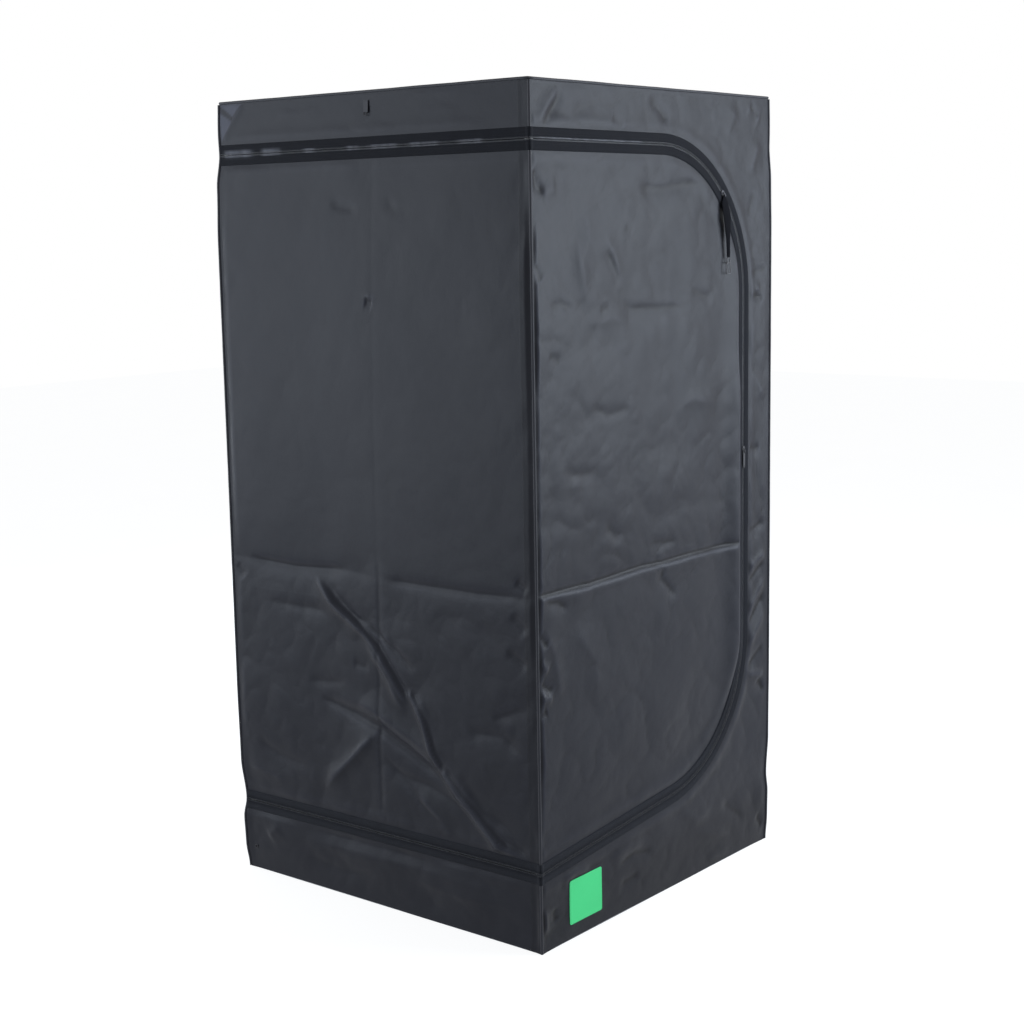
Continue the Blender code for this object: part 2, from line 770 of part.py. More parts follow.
def add_door_panels(canvas, door_side, door_front):
    side = sheet_solid(side_panel_rows(), on_left)
    add_object("door_side_panel", side, canvas, door_side, smooth=True)
    front = sheet_solid(front_panel_rows(), on_front)
    add_object("door_front_panel", front, canvas, door_front, smooth=True)


# Zip sliders and pulls


def slider_heights():
    """Heights off the panel of the wing's underside and top, the pull's middle and the bridge."""
    under = SKIN + TAPE + CHAIN_HEIGHT + SEAT
    top = under + SLIDER_WING
    return under, top, top + BRIDGE_HOLE / 2, top + BRIDGE_HOLE + BRIDGE_BAR


def slider_shape():
    """A slider along +Y, with X across the chain to the frame's side and Z off the panel."""
    under, top, _, crown = slider_heights()
    wide, narrow, half = SLIDER_WIDTH / 2, SLIDER_NOSE / 2, SLIDER_LENGTH / 2
    shoulder = half - SLIDER_NOSE
    outline = [
        (-wide, -half),
        (wide, -half),
        (wide, shoulder),
        (narrow, half),
        (-narrow, half),
        (-wide, shoulder),
    ]
    flange_foot = SKIN + TAPE + SEAT
    shapes = [prism(outline, under, top, on_z)]
    inside_wing = under + SLIDER_WING / 2
    for side in (-1, 1):
        edges = sorted((side * wide, side * (wide - SLIDER_FLANGE)))
        shapes.append(box((edges[0], -half, flange_foot), (edges[1], shoulder, inside_wing)))
    post = CHAIN_GAP - SEAT
    rear_top = SKIN - SEAT
    post_foot = rear_top - REAR_WING / 2
    shapes.append(box((-post, 0, post_foot), (post, SLIDER_POST_LENGTH, inside_wing)))
    rear_low = (SEAT * 2 - CANVAS_SETBACK, -REAR_WING_LENGTH / 2, rear_top - REAR_WING)
    shapes.append(box(rear_low, (post, REAR_WING_LENGTH / 2, rear_top - SEAT)))
    reach, across = BRIDGE_LENGTH / 2, BRIDGE_WIDTH / 2
    shapes.append(box((-across, -reach, crown - BRIDGE_BAR), (across, reach, crown)))
    for end in (-1, 1):
        near, far = sorted((end * reach, end * (reach - BRIDGE_BAR)))
        shapes.append(box((-across, near, inside_wing), (across, far, crown - BRIDGE_BAR / 2)))
    return joined_bmesh(shapes)


def eye_outline(foot_width):
    """(x, y) outline of a pull's head round its eye, hanging down -Y from the eye's bar."""
    half = EYE_WIDTH / 2 + EYE_BAR
    foot = -EYE_LENGTH - EYE_BAR
    left = [(-foot_width / 2, foot), (-half, foot / 2), (-half, EYE_BAR / 2)]
    return left + [(-x, y) for x, y in reversed(left)]


def eye_hole(low, high):
    half = EYE_WIDTH / 2
    return box((-half, -EYE_LENGTH, low - PULL), (half, -EYE_BAR / 2, high + PULL))


def ribbon_pull():
    """A long tapered pull with a ring and a square loop at its foot."""
    _, _, height, _ = slider_heights()
    low, high = height - PULL / 2, height + PULL / 2
    ribbon_foot = -EYE_LENGTH - EYE_BAR - RIBBON_LENGTH
    outline = eye_outline(RIBBON_TOP)
    outline += [(RIBBON_FOOT / 2, ribbon_foot), (-RIBBON_FOOT / 2, ribbon_foot)]
    shapes = [prism(outline, low, high, on_z)]
    ring_y = ribbon_foot - RING_RADIUS + RING_BAR / 2
    shapes.append(prism(circle((0, ring_y), RING_RADIUS, RING_SIDES), low, high, on_z))
    loop_top = ring_y - RING_RADIUS + RING_BAR / 2
    loop_foot = loop_top - LOOP_LENGTH
    half = LOOP_WIDTH / 2
    shapes.append(box((-half, loop_foot, low), (half, loop_top, high)))
    body = joined_bmesh(shapes)
    hole = prism(circle((0, ring_y), RING_RADIUS - RING_BAR, RING_SIDES), low - PULL, high + PULL, on_z)
    inner = half - RING_BAR
    window = box((-inner, loop_foot + RING_BAR, low - PULL), (inner, loop_top - RING_BAR, high + PULL))
    return joined_bmesh([body, eye_hole(low, high), hole, window], "DIFFERENCE")


def tab_pull():
    """A short flat pull with a hole near its foot."""
    _, _, height, _ = slider_heights()
    low, high = height - PULL / 2, height + PULL / 2
    tab_foot = -TAB_LENGTH
    corner = TAB_WIDTH / 4
    outline = eye_outline(TAB_WIDTH)
    outline += [(TAB_WIDTH / 2, tab_foot + corner), (TAB_WIDTH / 2 - corner, tab_foot)]
    outline += [(corner - TAB_WIDTH / 2, tab_foot), (-TAB_WIDTH / 2, tab_foot + corner)]
    hole_y = tab_foot + TAB_WIDTH / 2
    hole = prism(circle((0, hole_y), TAB_HOLE / 2, RING_SIDES), low - PULL, high + PULL, on_z)
    return joined_bmesh([prism(outline, low, high, on_z), eye_hole(low, high), hole], "DIFFERENCE")


def onto_front(bm, x, z, angle):
    """Stands a shape made on the XY plane against the front face, its +Y turned to the angle."""
    stand = Matrix(((1, 0, 0), (0, 0, -1), (0, 1, 0))).to_4x4()
    turn = Matrix.Rotation(-angle, 4, "Y")
    place = Matrix.Translation((x, -SIDE_Y, z)) @ turn @ stand
    bmesh.ops.transform(bm, verts=bm.verts, matrix=place)
    return bm


def add_sliders(metal, ribbon, door_front):
    """Two sliders on the door's zip, the upper one on the top arc and the lower on the straight run."""
    _, _, height, _ = slider_heights()
    upper_x = ARC_X + DOOR_ARC * cos(UPPER_SLIDER_ANGLE)
    upper_z = TOP_ARC_Z + DOOR_ARC * sin(UPPER_SLIDER_ANGLE)
    arc = add_pivot("zip_slider_upper_arc", (ARC_X, -SIDE_Y, TOP_ARC_Z), door_front)
    body = onto_front(slider_shape(), upper_x, upper_z, UPPER_SLIDER_ANGLE)
    add_object("zip_slider_upper", body, metal, arc, smooth=True)
    hinge = add_pivot("zip_pull_upper_hinge", (upper_x, -SIDE_Y - height, upper_z), arc)
    pull = onto_front(ribbon_pull(), upper_x, upper_z, UPPER_PULL_LEAN)
    add_object("zip_pull_upper", pull, ribbon, hinge)

    run = add_pivot("zip_slider_lower_slide", (DOOR_RIGHT, -SIDE_Y, LOWER_SLIDER_Z), door_front)
    body = onto_front(slider_shape(), DOOR_RIGHT, LOWER_SLIDER_Z, 0)
    add_object("zip_slider_lower", body, metal, run, smooth=True)
    place = (DOOR_RIGHT, -SIDE_Y - height, LOWER_SLIDER_Z)
    hinge = add_pivot("zip_pull_lower_hinge", place, run)
    add_object("zip_pull_lower", onto_front(tab_pull(), DOOR_RIGHT, LOWER_SLIDER_Z, 0), metal, hinge)


# Ports, vent and floor tray


def add_sleeves(canvas):
    """Cloth sleeves sewn into the ports and tucked inside the tent."""
    mouth, tail = SIDE_Y + CANVAS / 2, SIDE_Y - SLEEVE_LENGTH
    ends = (REAR_DUCT_X, mouth, REAR_DUCT_Z), (REAR_DUCT_X, tail, REAR_DUCT_Z)
    bm = tube(*ends, REAR_DUCT_RADIUS - SEAT, SLEEVE, SLEEVE_SIDES)
    add_object("duct_sleeve_rear", bm, canvas, smooth=True)
    for name, y, z, radius in (
        ("duct_sleeve_right", SIDE_DUCT_Y, SIDE_DUCT_Z, SIDE_DUCT_RADIUS),
        ("cable_sleeve", CABLE_Y, CABLE_Z, CABLE_RADIUS),
    ):
        ends = (SIDE_X + CANVAS / 2, y, z), (SIDE_X - SLEEVE_LENGTH, y, z)
        add_object(name, tube(*ends, radius - SEAT, SLEEVE, SLEEVE_SIDES), canvas, smooth=True)


def add_vent(mesh_cloth, canvas):
    """A mesh window sewn behind the rear opening, with a cloth flap that hangs over it outside."""
    x = VENT_WIDTH / 2 + VENT_SEAM
    low_z, high_z = VENT_Z - VENT_HEIGHT / 2 - VENT_SEAM, VENT_Z + VENT_HEIGHT / 2 + VENT_SEAM
    inside = SIDE_Y - SKIN
    add_object("vent_mesh", box((-x, inside - MESH, low_z), (x, inside, high_z)), mesh_cloth)
    outside = SIDE_Y + SKIN
    hinge = add_pivot("vent_flap_hinge", (0, outside + CANVAS / 2, high_z))
    add_object("vent_flap", box((-x, outside, low_z), (x, outside + CANVAS, high_z)), canvas, hinge)


def add_floor_tray(lining):
    """A loose spill tray that lies on the floor panel inside the bottom rails."""
    x = FRAME_X - TUBE_RADIUS - TRAY_CLEARANCE
    y = FRAME_Y - TUBE_RADIUS - TRAY_CLEARANCE
    foot = CANVAS + SEAT
    outer = box((-x, -y, foot), (x, y, foot + TRAY_HEIGHT))
    inner = box((TRAY - x, TRAY - y, foot + TRAY), (x - TRAY, y - TRAY, foot + 2 * TRAY_HEIGHT))
    add_object("floor_tray", joined_bmesh([outer, inner], "DIFFERENCE"), lining)


# Small sewn pieces


def add_label(label):
    """A plain woven patch on the front skirt."""
    low = (LABEL_X - LABEL_WIDTH / 2, LABEL_Z - LABEL_HEIGHT / 2)
    high = (LABEL_X + LABEL_WIDTH / 2, LABEL_Z + LABEL_HEIGHT / 2)
    cut = LABEL_CORNER
    outline = [
        (low[0] + cut, low[1]),
        (high[0] - cut, low[1]),
        (high[0], low[1] + cut),
        (high[0], high[1] - cut),
        (high[0] - cut, high[1]),
        (low[0] + cut, high[1]),
        (low[0], high[1] - cut),
        (low[0], low[1] + cut),
    ]
    add_object("label_patch", prism(outline, SKIN, SKIN + LABEL, on_front), label)


def add_tie_loop(webbing):
    """A small flat webbing loop on the left top band, where the rolled door is tied."""
    top = HEIGHT - TIE_TOP_DROP
    foot = top - TIE_HEIGHT
    low_y, high_y = TIE_Y - TIE_WIDTH / 2, TIE_Y + TIE_WIDTH / 2
    near, far = SIDE_X + SKIN, SIDE_X + SKIN + TIE_DEPTH
    loop = box((-far, low_y, foot), (-near, high_y, top))
    hole_low = (TIE_WEB - far, low_y - TIE_WIDTH, foot + TIE_WEB)
    hole = box(hole_low, (-near - TIE_WEB, high_y + TIE_WIDTH, top - TIE_WEB))
    add_object("door_tie_loop", joined_bmesh([loop, hole], "DIFFERENCE"), webbing)


def build():
    clear_scene()
    canvas = finish("canvas", (0.075, 0.080, 0.095), 0.62)
    lining = finish("lining", (0.80, 0.81, 0.82), 0.30, 0.6)
    piping = finish("piping", (0.045, 0.048, 0.058), 0.7)
    tape = finish("zip_tape", (0.035, 0.038, 0.046), 0.75)
    ribbon = finish("ribbon", (0.025, 0.027, 0.034), 0.7)
    steel = finish("frame_steel", (0.82, 0.82, 0.80), 0.35, 0.2)
    plastic = finish("connector_plastic", (0.02, 0.02, 0.022), 0.5)
    metal = finish("slider_metal", (0.03, 0.03, 0.033), 0.35, 0.9)
    mesh_cloth = finish("vent_mesh", (0.03, 0.03, 0.032), 0.8)
    label = finish("label_green", (0.10, 0.66, 0.24), 0.6)

    door_side = add_pivot("door_side_hinge", (-SIDE_X, SIDE_Y, 0))
    door_front = add_pivot("door_front_hinge", (-SIDE_X, -SIDE_Y, 0), door_side)

    add_connectors(plastic)
    add_posts(steel)
    add_rails(steel)
    add_hanging_bar("hanging_bar_front", BAR_FRONT_Y, steel)
    add_hanging_bar("hanging_bar_rear", BAR_REAR_Y, steel)
    add_shell(canvas, lining)
    add_rear_panel(canvas)
    add_right_panel(canvas)
    add_corner_pipings(piping, door_side)
    add_top_piping(piping)
    add_zip_tapes(tape, door_side, door_front)
    add_door_panels(canvas, door_side, door_front)
    add_sliders(metal, ribbon, door_front)
    add_sleeves(canvas)
    add_vent(mesh_cloth, canvas)
    add_floor_tray(lining)
    add_label(label)
    add_tie_loop(ribbon)


build()
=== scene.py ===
"""Looks of the indoor grow tent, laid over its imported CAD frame. Metres, +Z up.

The cloth is built wall by wall: a wall is a grid of (s, z) points, where s is x on the front and
rear walls and y on the left and right walls. rise() says how far the folds lift the cloth there,
and everything sewn on the cloth follows the same heights.
"""

from functools import partial
from math import cos, hypot, pi, radians, sin, tan

import bpy
import numpy as np
from mathutils import Matrix, Vector


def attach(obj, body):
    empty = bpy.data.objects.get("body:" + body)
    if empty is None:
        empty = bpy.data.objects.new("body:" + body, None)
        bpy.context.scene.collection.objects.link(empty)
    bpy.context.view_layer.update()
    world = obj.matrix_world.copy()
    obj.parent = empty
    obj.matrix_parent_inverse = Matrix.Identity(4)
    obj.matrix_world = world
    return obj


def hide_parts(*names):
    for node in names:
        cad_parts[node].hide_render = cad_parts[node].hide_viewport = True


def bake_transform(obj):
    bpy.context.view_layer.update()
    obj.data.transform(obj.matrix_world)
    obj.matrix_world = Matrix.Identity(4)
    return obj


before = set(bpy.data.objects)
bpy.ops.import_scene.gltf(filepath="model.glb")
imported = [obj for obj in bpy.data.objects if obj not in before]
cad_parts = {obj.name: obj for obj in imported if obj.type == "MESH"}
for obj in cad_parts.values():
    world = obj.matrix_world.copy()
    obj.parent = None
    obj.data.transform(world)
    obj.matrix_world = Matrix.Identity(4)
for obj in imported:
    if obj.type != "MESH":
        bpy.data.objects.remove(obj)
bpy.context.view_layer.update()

MM = 0.001

# Sizes that the CAD gives
SIDE = 0.4965
TOP = 1.9965
EDGE_TOP = 1.9927
CANVAS = 0.001
SKIN = 0.0008
PIPING = 0.0035
BINDING_WIDTH = 0.032
SETBACK = 0.009
ZIP_TOP = 1.868
ZIP_BOTTOM = 0.195
ZIP_BOTTOM_REAR = 0.187
DOOR_RIGHT = 0.375
ARC = 0.368
ARC_X = DOOR_RIGHT - ARC
TOP_ARC_Z = ZIP_TOP - ARC
RUN_ANGLE = radians(5.5)
FOOT_X = ARC_X + ARC * sin(RUN_ANGLE)
BOTTOM_ARC_Z = ZIP_BOTTOM + (SIDE + FOOT_X) * tan(RUN_ANGLE) + ARC * cos(RUN_ANGLE)
SLIDER_UPPER = (0.27614, 1.75098)
PULL_HEIGHT = 0.0058
PULL_LEAN = radians(4)
# Ports: middle along the wall, height and radius
REAR_DUCT = (0.0, 1.640, 0.100)
RIGHT_DUCT = (0.0, 0.300, 0.080)
CABLE = (0.300, 1.560, 0.030)
SLEEVE_LENGTH = 0.060
FLANGE = 0.022
# The vent's half width, lower edge and upper edge
VENT = (0.200, 0.220, 0.420)
VENT_SEAM = 0.020
VENT_THREAD = 0.0007
TRAY = 0.4725
TRAY_HEIGHT = 0.050
# Middle, middle height or top, width and height
LABEL = (-0.326, 0.092, 0.128, 0.110)
TIE = (-0.013, 1.976, 0.014, 0.030)
EYELET = (0.461, 0.061)

# Sizes that only the looks have
CLOTH_EDGE = 0.4945
CLOTH_TOP = EDGE_TOP + 0.002
CORNER = 0.006
PIPING_EDGE = 0.003
CREASE_Z = 0.849
CLOTH_STEP = 0.0065
NEAR_CORNER = (-CLOTH_EDGE, 0.03)
CREASED_STEP = 0.0048
BAND_STEP = 0.005
HIDDEN_STEP = 0.010
LOOSE_STEP = 0.020
FINE_STEP = 0.003
PIPING_STEP = 0.012
PIPING_SIDES = 12
BAND_HALF = 0.031
PULL_LIFT = 0.006
TOOTH_PITCH = 0.0020
STITCH_PITCH = 0.0040
STITCH = 0.0028
THREAD = 0.0006
# Distance from the zip line and height of the two rows of stitches on a zip band
BAND_SEAMS = ((0.0105, 0.0027), (0.0225, 0.0025))
ENDS_FADE = 0.3

# The photograph's viewpoint, and the soft boxes: name, place, aim, size and power
CAMERA_PLACE = (-3.5658, -2.9396, 1.6794)
CAMERA_TURN = (0.8852, -0.1595, -0.0176)
CAMERA_LENS = 62.34
LIGHTS = (
    ("front_right", (2.4, -3.5, 1.82), (0.0, -0.45, 1.45), (2.7, 2.5), 190),
    ("rear_left", (-3.4, 2.8, 1.60), (-0.45, 0.0, 1.35), (3.0, 2.9), 110),
    ("rear_right", (3.0, 3.2, 1.8), (0.3, 0.3, 1.3), (2.8, 2.4), 100),
    ("rear", (0.0, 4.6, 1.1), (0.0, 0.5, 1.1), (2.8, 2.2), 80),
)


# Height of the cloth off its flat wall


def eased(low, high, x):
    """0 up to low, 1 from high, smooth between."""
    t = np.clip((np.asarray(x, float) - low) / (high - low), 0, 1)
    return t * t * (3 - 2 * t)


def noise(a, b, size, seed):
    """Smooth random heights from -1 to 1, with bumps of about the given size."""
    cells = np.random.default_rng(seed).uniform(-1, 1, (64, 64))
    total = 0
    for turn, share in ((0.5, 0.6), (2.1, 0.4)):
        u = (a * cos(turn) + b * sin(turn)) / size + 31.3
        v = (b * cos(turn) - a * sin(turn)) / size + 17.7
        i, j = np.floor(u).astype(int), np.floor(v).astype(int)
        fu, fv = u - i, v - j
        fu, fv = fu**3 * (fu * (6 * fu - 15) + 10), fv**3 * (fv * (6 * fv - 15) + 10)
        near = cells[i % 64, j % 64] * (1 - fu) + cells[(i + 1) % 64, j % 64] * fu
        far = cells[i % 64, (j + 1) % 64] * (1 - fu) + cells[(i + 1) % 64, (j + 1) % 64] * fu
        total = total + share * (near * (1 - fv) + far * fv)
    return total


def wave(along, size, seed):
    """Smooth random heights along a line."""
    return noise(along, along * 0, size, seed)


def add_crease(heights, a, b, height, above, below, points, fade=ENDS_FADE):
    """Adds a fold along a line of points, above and below being its two sides' widths in mm."""
    widths_felt, crest = 3.2, 0.004
    pad = widths_felt * max(above, below) * MM
    xs, zs = zip(*points)
    chosen = (a > min(xs) - pad) & (a < max(xs) + pad) & (b > min(zs) - pad) & (b < max(zs) + pad)
    if not chosen.any():
        return
    p, q = a[chosen], b[chosen]
    best, side, along = np.full(p.shape, 9.0), np.ones(p.shape), np.zeros(p.shape)
    done = 0
    for (x0, z0), (x1, z1) in zip(points, points[1:]):
        dx, dz = x1 - x0, z1 - z0
        length = hypot(dx, dz)
        t = np.clip(((p - x0) * dx + (q - z0) * dz) / length**2, 0, 1)
        ex, ez = p - x0 - t * dx, q - z0 - t * dz
        distance = np.hypot(ex, ez)
        nearer = distance < best
        best = np.where(nearer, distance, best)
        side = np.where(nearer, np.sign(dx * ez - dz * ex), side)
        along = np.where(nearer, done + t * length, along)
        done += length
    width = np.where(side > 0, above, below) * MM
    ends = eased(0, fade, along / done) * eased(0, fade, 1 - along / done)
    soft = np.hypot(best, crest) - crest
    heights[chosen] += height * MM * np.exp(-((soft / width) ** 1.2)) * ends


def zip_offset(x, z):
    """Distance outward from the door's zip line on the front wall, negative inside the door."""
    x, z = np.asarray(x, float), np.asarray(z, float)
    foot = ZIP_BOTTOM + (x + SIDE) * tan(RUN_ANGLE)
    flat = np.maximum(np.maximum(z - ZIP_TOP, x - DOOR_RIGHT), (foot - z) * cos(RUN_ANGLE))
    upper = np.hypot(x - ARC_X, z - TOP_ARC_Z) - ARC
    lower = np.hypot(x - ARC_X, z - BOTTOM_ARC_Z) - ARC
    in_upper = (x > ARC_X) & (z > TOP_ARC_Z)
    past = (x - ARC_X) * cos(RUN_ANGLE) + (z - BOTTOM_ARC_Z) * sin(RUN_ANGLE) > 0
    in_lower = past & (z < BOTTOM_ARC_Z)
    return np.where(in_upper, upper, np.where(in_lower, lower, flat))


def side_zip_z(y):
    """Height of the bottom zip on the left wall."""
    return ZIP_BOTTOM + (ZIP_BOTTOM_REAR - ZIP_BOTTOM) * (y + SIDE) / (2 * SIDE)


# Folds in mm: the height, the widths above and below, then the line's (s, z) points. A line that
# runs towards +s has its first width above it. A negative height is a furrow. A last number is the
# share of the line over which each end fades out, ENDS_FADE where there is none.
FRONT_FOLDS = (
    (-1.2, 50, 12, (-600, 853), (-420, 853), (-300, 851), (-190, 854), (-90, 858), (10, 855),
     (130, 857), (260, 855), (370, 852), 0.12),
    (-1.9, 6, 5, (-520, 853), (-420, 853), (-300, 851), (-190, 854), (-90, 858), (10, 855),
     (130, 857), (260, 855), (360, 853), 0.06),
    (1.5, 5, 14, (-520, 841), (-420, 842), (-300, 840), (-190, 843), (-90, 847), (10, 844),
     (130, 846), (260, 844), (360, 843), 0.06),
    (-3.4, 12, 26, (-120, 1764), (13, 1762), (134, 1775), (214, 1766)),
    (1.8, 16, 12, (-460, 1749), (-403, 1762)),
    (2.6, 14, 10, (-471, 1903), (-391, 1984)),
    (-2.4, 10, 16, (-460, 1885), (-375, 1975)),
    (-1.6, 12, 16, (-348, 1934), (-235, 1956)),
    (-1.6, 12, 12, (-197, 1926), (-150, 1901)),
    (-2.4, 10, 16, (-44, 1982), (14, 1938), (48, 1925)),
    (2.0, 20, 20, (344, 1965), (297, 1890)),
    (-3.0, 7, 14, (401, 1975), (449, 1944)),
    (2.4, 9, 9, (385, 1965), (430, 1955), (455, 1930)),
    (2.4, 16, 16, (450, 1889), (400, 1797)),
    (-2.0, 12, 12, (430, 1760), (400, 1690)),
    (-2.2, 10, 12, (-487, 1810), (-478, 1771), (-450, 1745)),
    (-1.8, 9, 12, (-492, 1598), (-465, 1558)),
    (1.5, 22, 22, (-300, 1736), (-294, 1647), (-356, 1545)),
    (-2.2, 10, 16, (-225, 1630), (-217, 1609), (-163, 1538)),
    (1.6, 12, 14, (-240, 1668), (-190, 1600), (-163, 1529)),
    (-1.2, 8, 8, (-153, 1677), (-121, 1658)),
    (1.6, 18, 18, (-331, 1670), (-332, 1603), (-296, 1484)),
    (-2.6, 10, 20, (-187, 1515), (-123, 1482), (28, 1478), (133, 1478)),
    (-1.8, 8, 16, (-445, 1497), (-400, 1505), (-345, 1494)),
    (-1.3, 8, 8, (-255, 1484), (-209, 1491)),
    (-1.8, 9, 12, (123, 1521), (233, 1487)),
    (1.4, 16, 16, (-312, 1452), (-219, 1466), (-123, 1457)),
    (-1.4, 10, 10, (-450, 1395), (-400, 1375)),
    (-1.4, 12, 12, (-300, 1270), (-220, 1240), (-120, 1250)),
    (1.2, 16, 16, (50, 1220), (140, 1250), (260, 1230)),
    (-1.2, 10, 14, (-420, 1130), (-330, 1110), (-250, 1120)),
    (-1.2, 10, 12, (-235, 985), (-175, 925)),
    (-1.7, 8, 14, (-62, 912), (7, 904), (78, 898)),
    (-2.0, 8, 12, (6, 862), (-3, 815), (68, 752)),
    (-2.2, 9, 14, (-490, 838), (-423, 828), (-376, 800)),
    (-2.0, 9, 9, (-495, 765), (-463, 728)),
    (2.4, 9, 9, (-495, 700), (-460, 672)),
    (-2.2, 9, 12, (-495, 652), (-443, 620)),
    (2.2, 8, 8, (-495, 614), (-443, 606)),
    (-2.0, 9, 9, (-495, 570), (-464, 582)),
    (1.8, 18, 18, (-469, 776), (-434, 694), (-413, 595)),
    (1.6, 24, 24, (-371, 767), (-280, 663), (-273, 564)),
    (-2.0, 10, 10, (404, 1548), (485, 1561)),
    (2.0, 10, 10, (404, 1487), (453, 1516)),
    (-2.2, 8, 8, (414, 1502), (463, 1479)),
    (-2.0, 9, 9, (405, 1100), (455, 1085)),
    (1.6, 14, 14, (420, 1300), (470, 1220)),
    (-1.8, 9, 14, (392, 872), (482, 893)),
    (2.6, 9, 12, (395, 770), (482, 811)),
    (-2.4, 9, 12, (395, 730), (482, 792)),
    (2.6, 9, 12, (395, 650), (482, 746)),
    (-2.6, 9, 12, (395, 610), (482, 705)),
    (2.4, 9, 12, (400, 560), (482, 655)),
    (-2.2, 9, 12, (392, 500), (478, 560)),
    (2.4, 10, 10, (395, 486), (478, 474)),
    (-2.6, 8, 12, (445, 470), (478, 420)),
    (2.6, 12, 14, (-421, 146), (-366, 165), (-300, 150)),
    (-2.0, 12, 12, (-451, 100), (-440, 60)),
    (2.0, 12, 16, (-231, 152), (-147, 164), (-78, 148)),
    (-1.8, 10, 12, (-200, 125), (-120, 140), (-30, 120)),
    (-1.6, 10, 10, (-190, 73), (-96, 81)),
    (1.5, 14, 14, (70, 200), (160, 150), (240, 160)),
    (1.8, 9, 9, (196, 26), (323, 16)),
    (-2.0, 10, 10, (477, 40), (445, 82)),
    (2.4, 9, 9, (-488, 110), (-479, 40)),
    (-1.8, 12, 14, (273, 169), (394, 85)),
    (1.6, 14, 14, (139, 124), (323, 66)),
)

LEFT_FOLDS = (
    (-1.3, 16, 12, (-580, 850), (-320, 838), (-206, 836), (0, 842), 0.15),
    (-1.8, 44, 14, (-20, 842), (100, 851), (274, 842), (450, 850), (550, 852), 0.15),
    (-0.22, 7, 9, (-26, 1920), (-14, 1500), (-6, 1100), (-4, 800), 0.06),
    (-0.9, 5, 7, (-10, 900), (-2, 660), (4, 470), (6, 220), 0.1),
    (2.2, 5, 6, (212, 829), (147, 759), (59, 707), (8, 665), (-42, 602), (-89, 533), 0.08),
    (-2.0, 5, 6, (150, 776), (66, 722), (-6, 672), (-55, 612), (-101, 545), 0.1),
    (2.4, 5, 6, (-90, 577), (-120, 538), (-142, 500), (-167, 435), (-197, 385), 0.1),
    (-2.2, 5, 6, (-103, 580), (-133, 540), (-156, 500), (-181, 435), (-210, 390), 0.1),
    (3.0, 6, 12, (-190, 398), (-252, 331), (-320, 273), (-392, 228), 0.1),
    (-2.2, 5, 6, (-205, 405), (-266, 343), (-335, 286), (-405, 240), 0.1),
    (-1.8, 5, 7, (43, 723), (-12, 695), (-66, 661), (-119, 620), 0.2),
    (1.4, 5, 7, (-12, 709), (-75, 648), (-146, 613), 0.2),
    (-1.6, 6, 9, (208, 514), (178, 504), (92, 482), (11, 460), (-85, 420), (-183, 375), 0.1),
    (1.2, 5, 8, (11, 453), (106, 364), (210, 265), 0.2),
    (-1.1, 6, 8, (0, 398), (-73, 347), (-135, 289), (-214, 242), 0.2),
    (-3.4, 20, 7, (445, 849), (350, 843), (271, 840), (180, 845), (94, 852), 0.2),
    (-1.5, 6, 7, (-36, 840), (-198, 841), (-335, 840), (-451, 846), 0.12),
    (-2.4, 12, 18, (146, 737), (261, 739), (390, 742)),
    (-2.2, 12, 12, (453, 792), (485, 829)),
    (-2.4, 9, 9, (-475, 860), (-435, 885)),
    (3.8, 13, 16, (2, 688), (69, 709), (145, 756), (213, 819)),
    (-2.6, 14, 10, (0, 715), (69, 732), (145, 785), (190, 830)),
    (4.2, 13, 12, (-84, 505), (-36, 591), (4, 640), (53, 698)),
    (-2.4, 12, 12, (-151, 609), (-71, 650), (-23, 702)),
    (4.2, 14, 13, (-205, 385), (-162, 461), (-133, 544), (-93, 580)),
    (4.8, 16, 20, (-461, 212), (-368, 241), (-270, 338), (-195, 405)),
    (-2.6, 18, 14, (-440, 265), (-330, 310), (-250, 400)),
    (-4.6, 14, 22, (-290, 318), (-191, 369), (-79, 430), (11, 470), (139, 500), (238, 513)),
    (3.0, 22, 20, (-240, 392), (-100, 455), (20, 505), (150, 535)),
    (4.2, 18, 18, (222, 270), (92, 378), (11, 465)),
    (-2.8, 14, 18, (-386, 232), (-315, 273), (-238, 322), (-150, 342), (-43, 360), (24, 394)),
    (2.4, 16, 16, (-227, 226), (-164, 280), (-109, 326)),
    (-2.2, 16, 20, (237, 317), (357, 331), (450, 372)),
    (2.0, 18, 18, (332, 262), (388, 278), (480, 288)),
    (-2.2, 14, 16, (-459, 465), (-390, 507), (-270, 500)),
    (-2.2, 10, 12, (-474, 760), (-420, 806)),
    (-2.2, 10, 12, (-474, 680), (-405, 720)),
    (-2.0, 10, 14, (-465, 588), (-353, 540)),
    (-1.6, 12, 14, (110, 565), (253, 546)),
    (-1.5, 10, 10, (31, 613), (90, 617)),
    (-2.0, 9, 9, (-465, 236), (-376, 251)),
    (-1.7, 8, 9, (22, 1724), (60, 1731), (120, 1742)),
    (-0.8, 9, 9, (-155, 1716), (-95, 1720), (-57, 1758)),
    (-2.2, 8, 8, (-16, 1503), (-3, 1507), (10, 1512)),
    (2.0, 8, 8, (-6, 1530), (-4, 1515)),
    (-2.2, 7, 8, (494, 1988), (470, 1971), (446, 1955), 0.1),
    (1.4, 14, 9, (408, 1994), (445, 1953), (487, 1900), 0.1),
    (-2.0, 10, 12, (-24, 1935), (14, 1988)),
    (0.6, 14, 14, (100, 1965), (210, 1955), (310, 1965)),
    (-0.6, 12, 12, (-360, 1950), (-250, 1965), (-170, 1950)),
    (2.6, 26, 30, (-500, 116), (-200, 124), (100, 120), (460, 112)),
    (-2.6, 10, 16, (-245, 149), (-19, 153), (173, 152), (355, 143)),
    (2.4, 12, 16, (365, 139), (415, 95)),
    (1.8, 16, 18, (-420, 100), (-250, 85), (-50, 100)),
    (-1.6, 14, 16, (20, 75), (150, 60), (300, 75)),
)

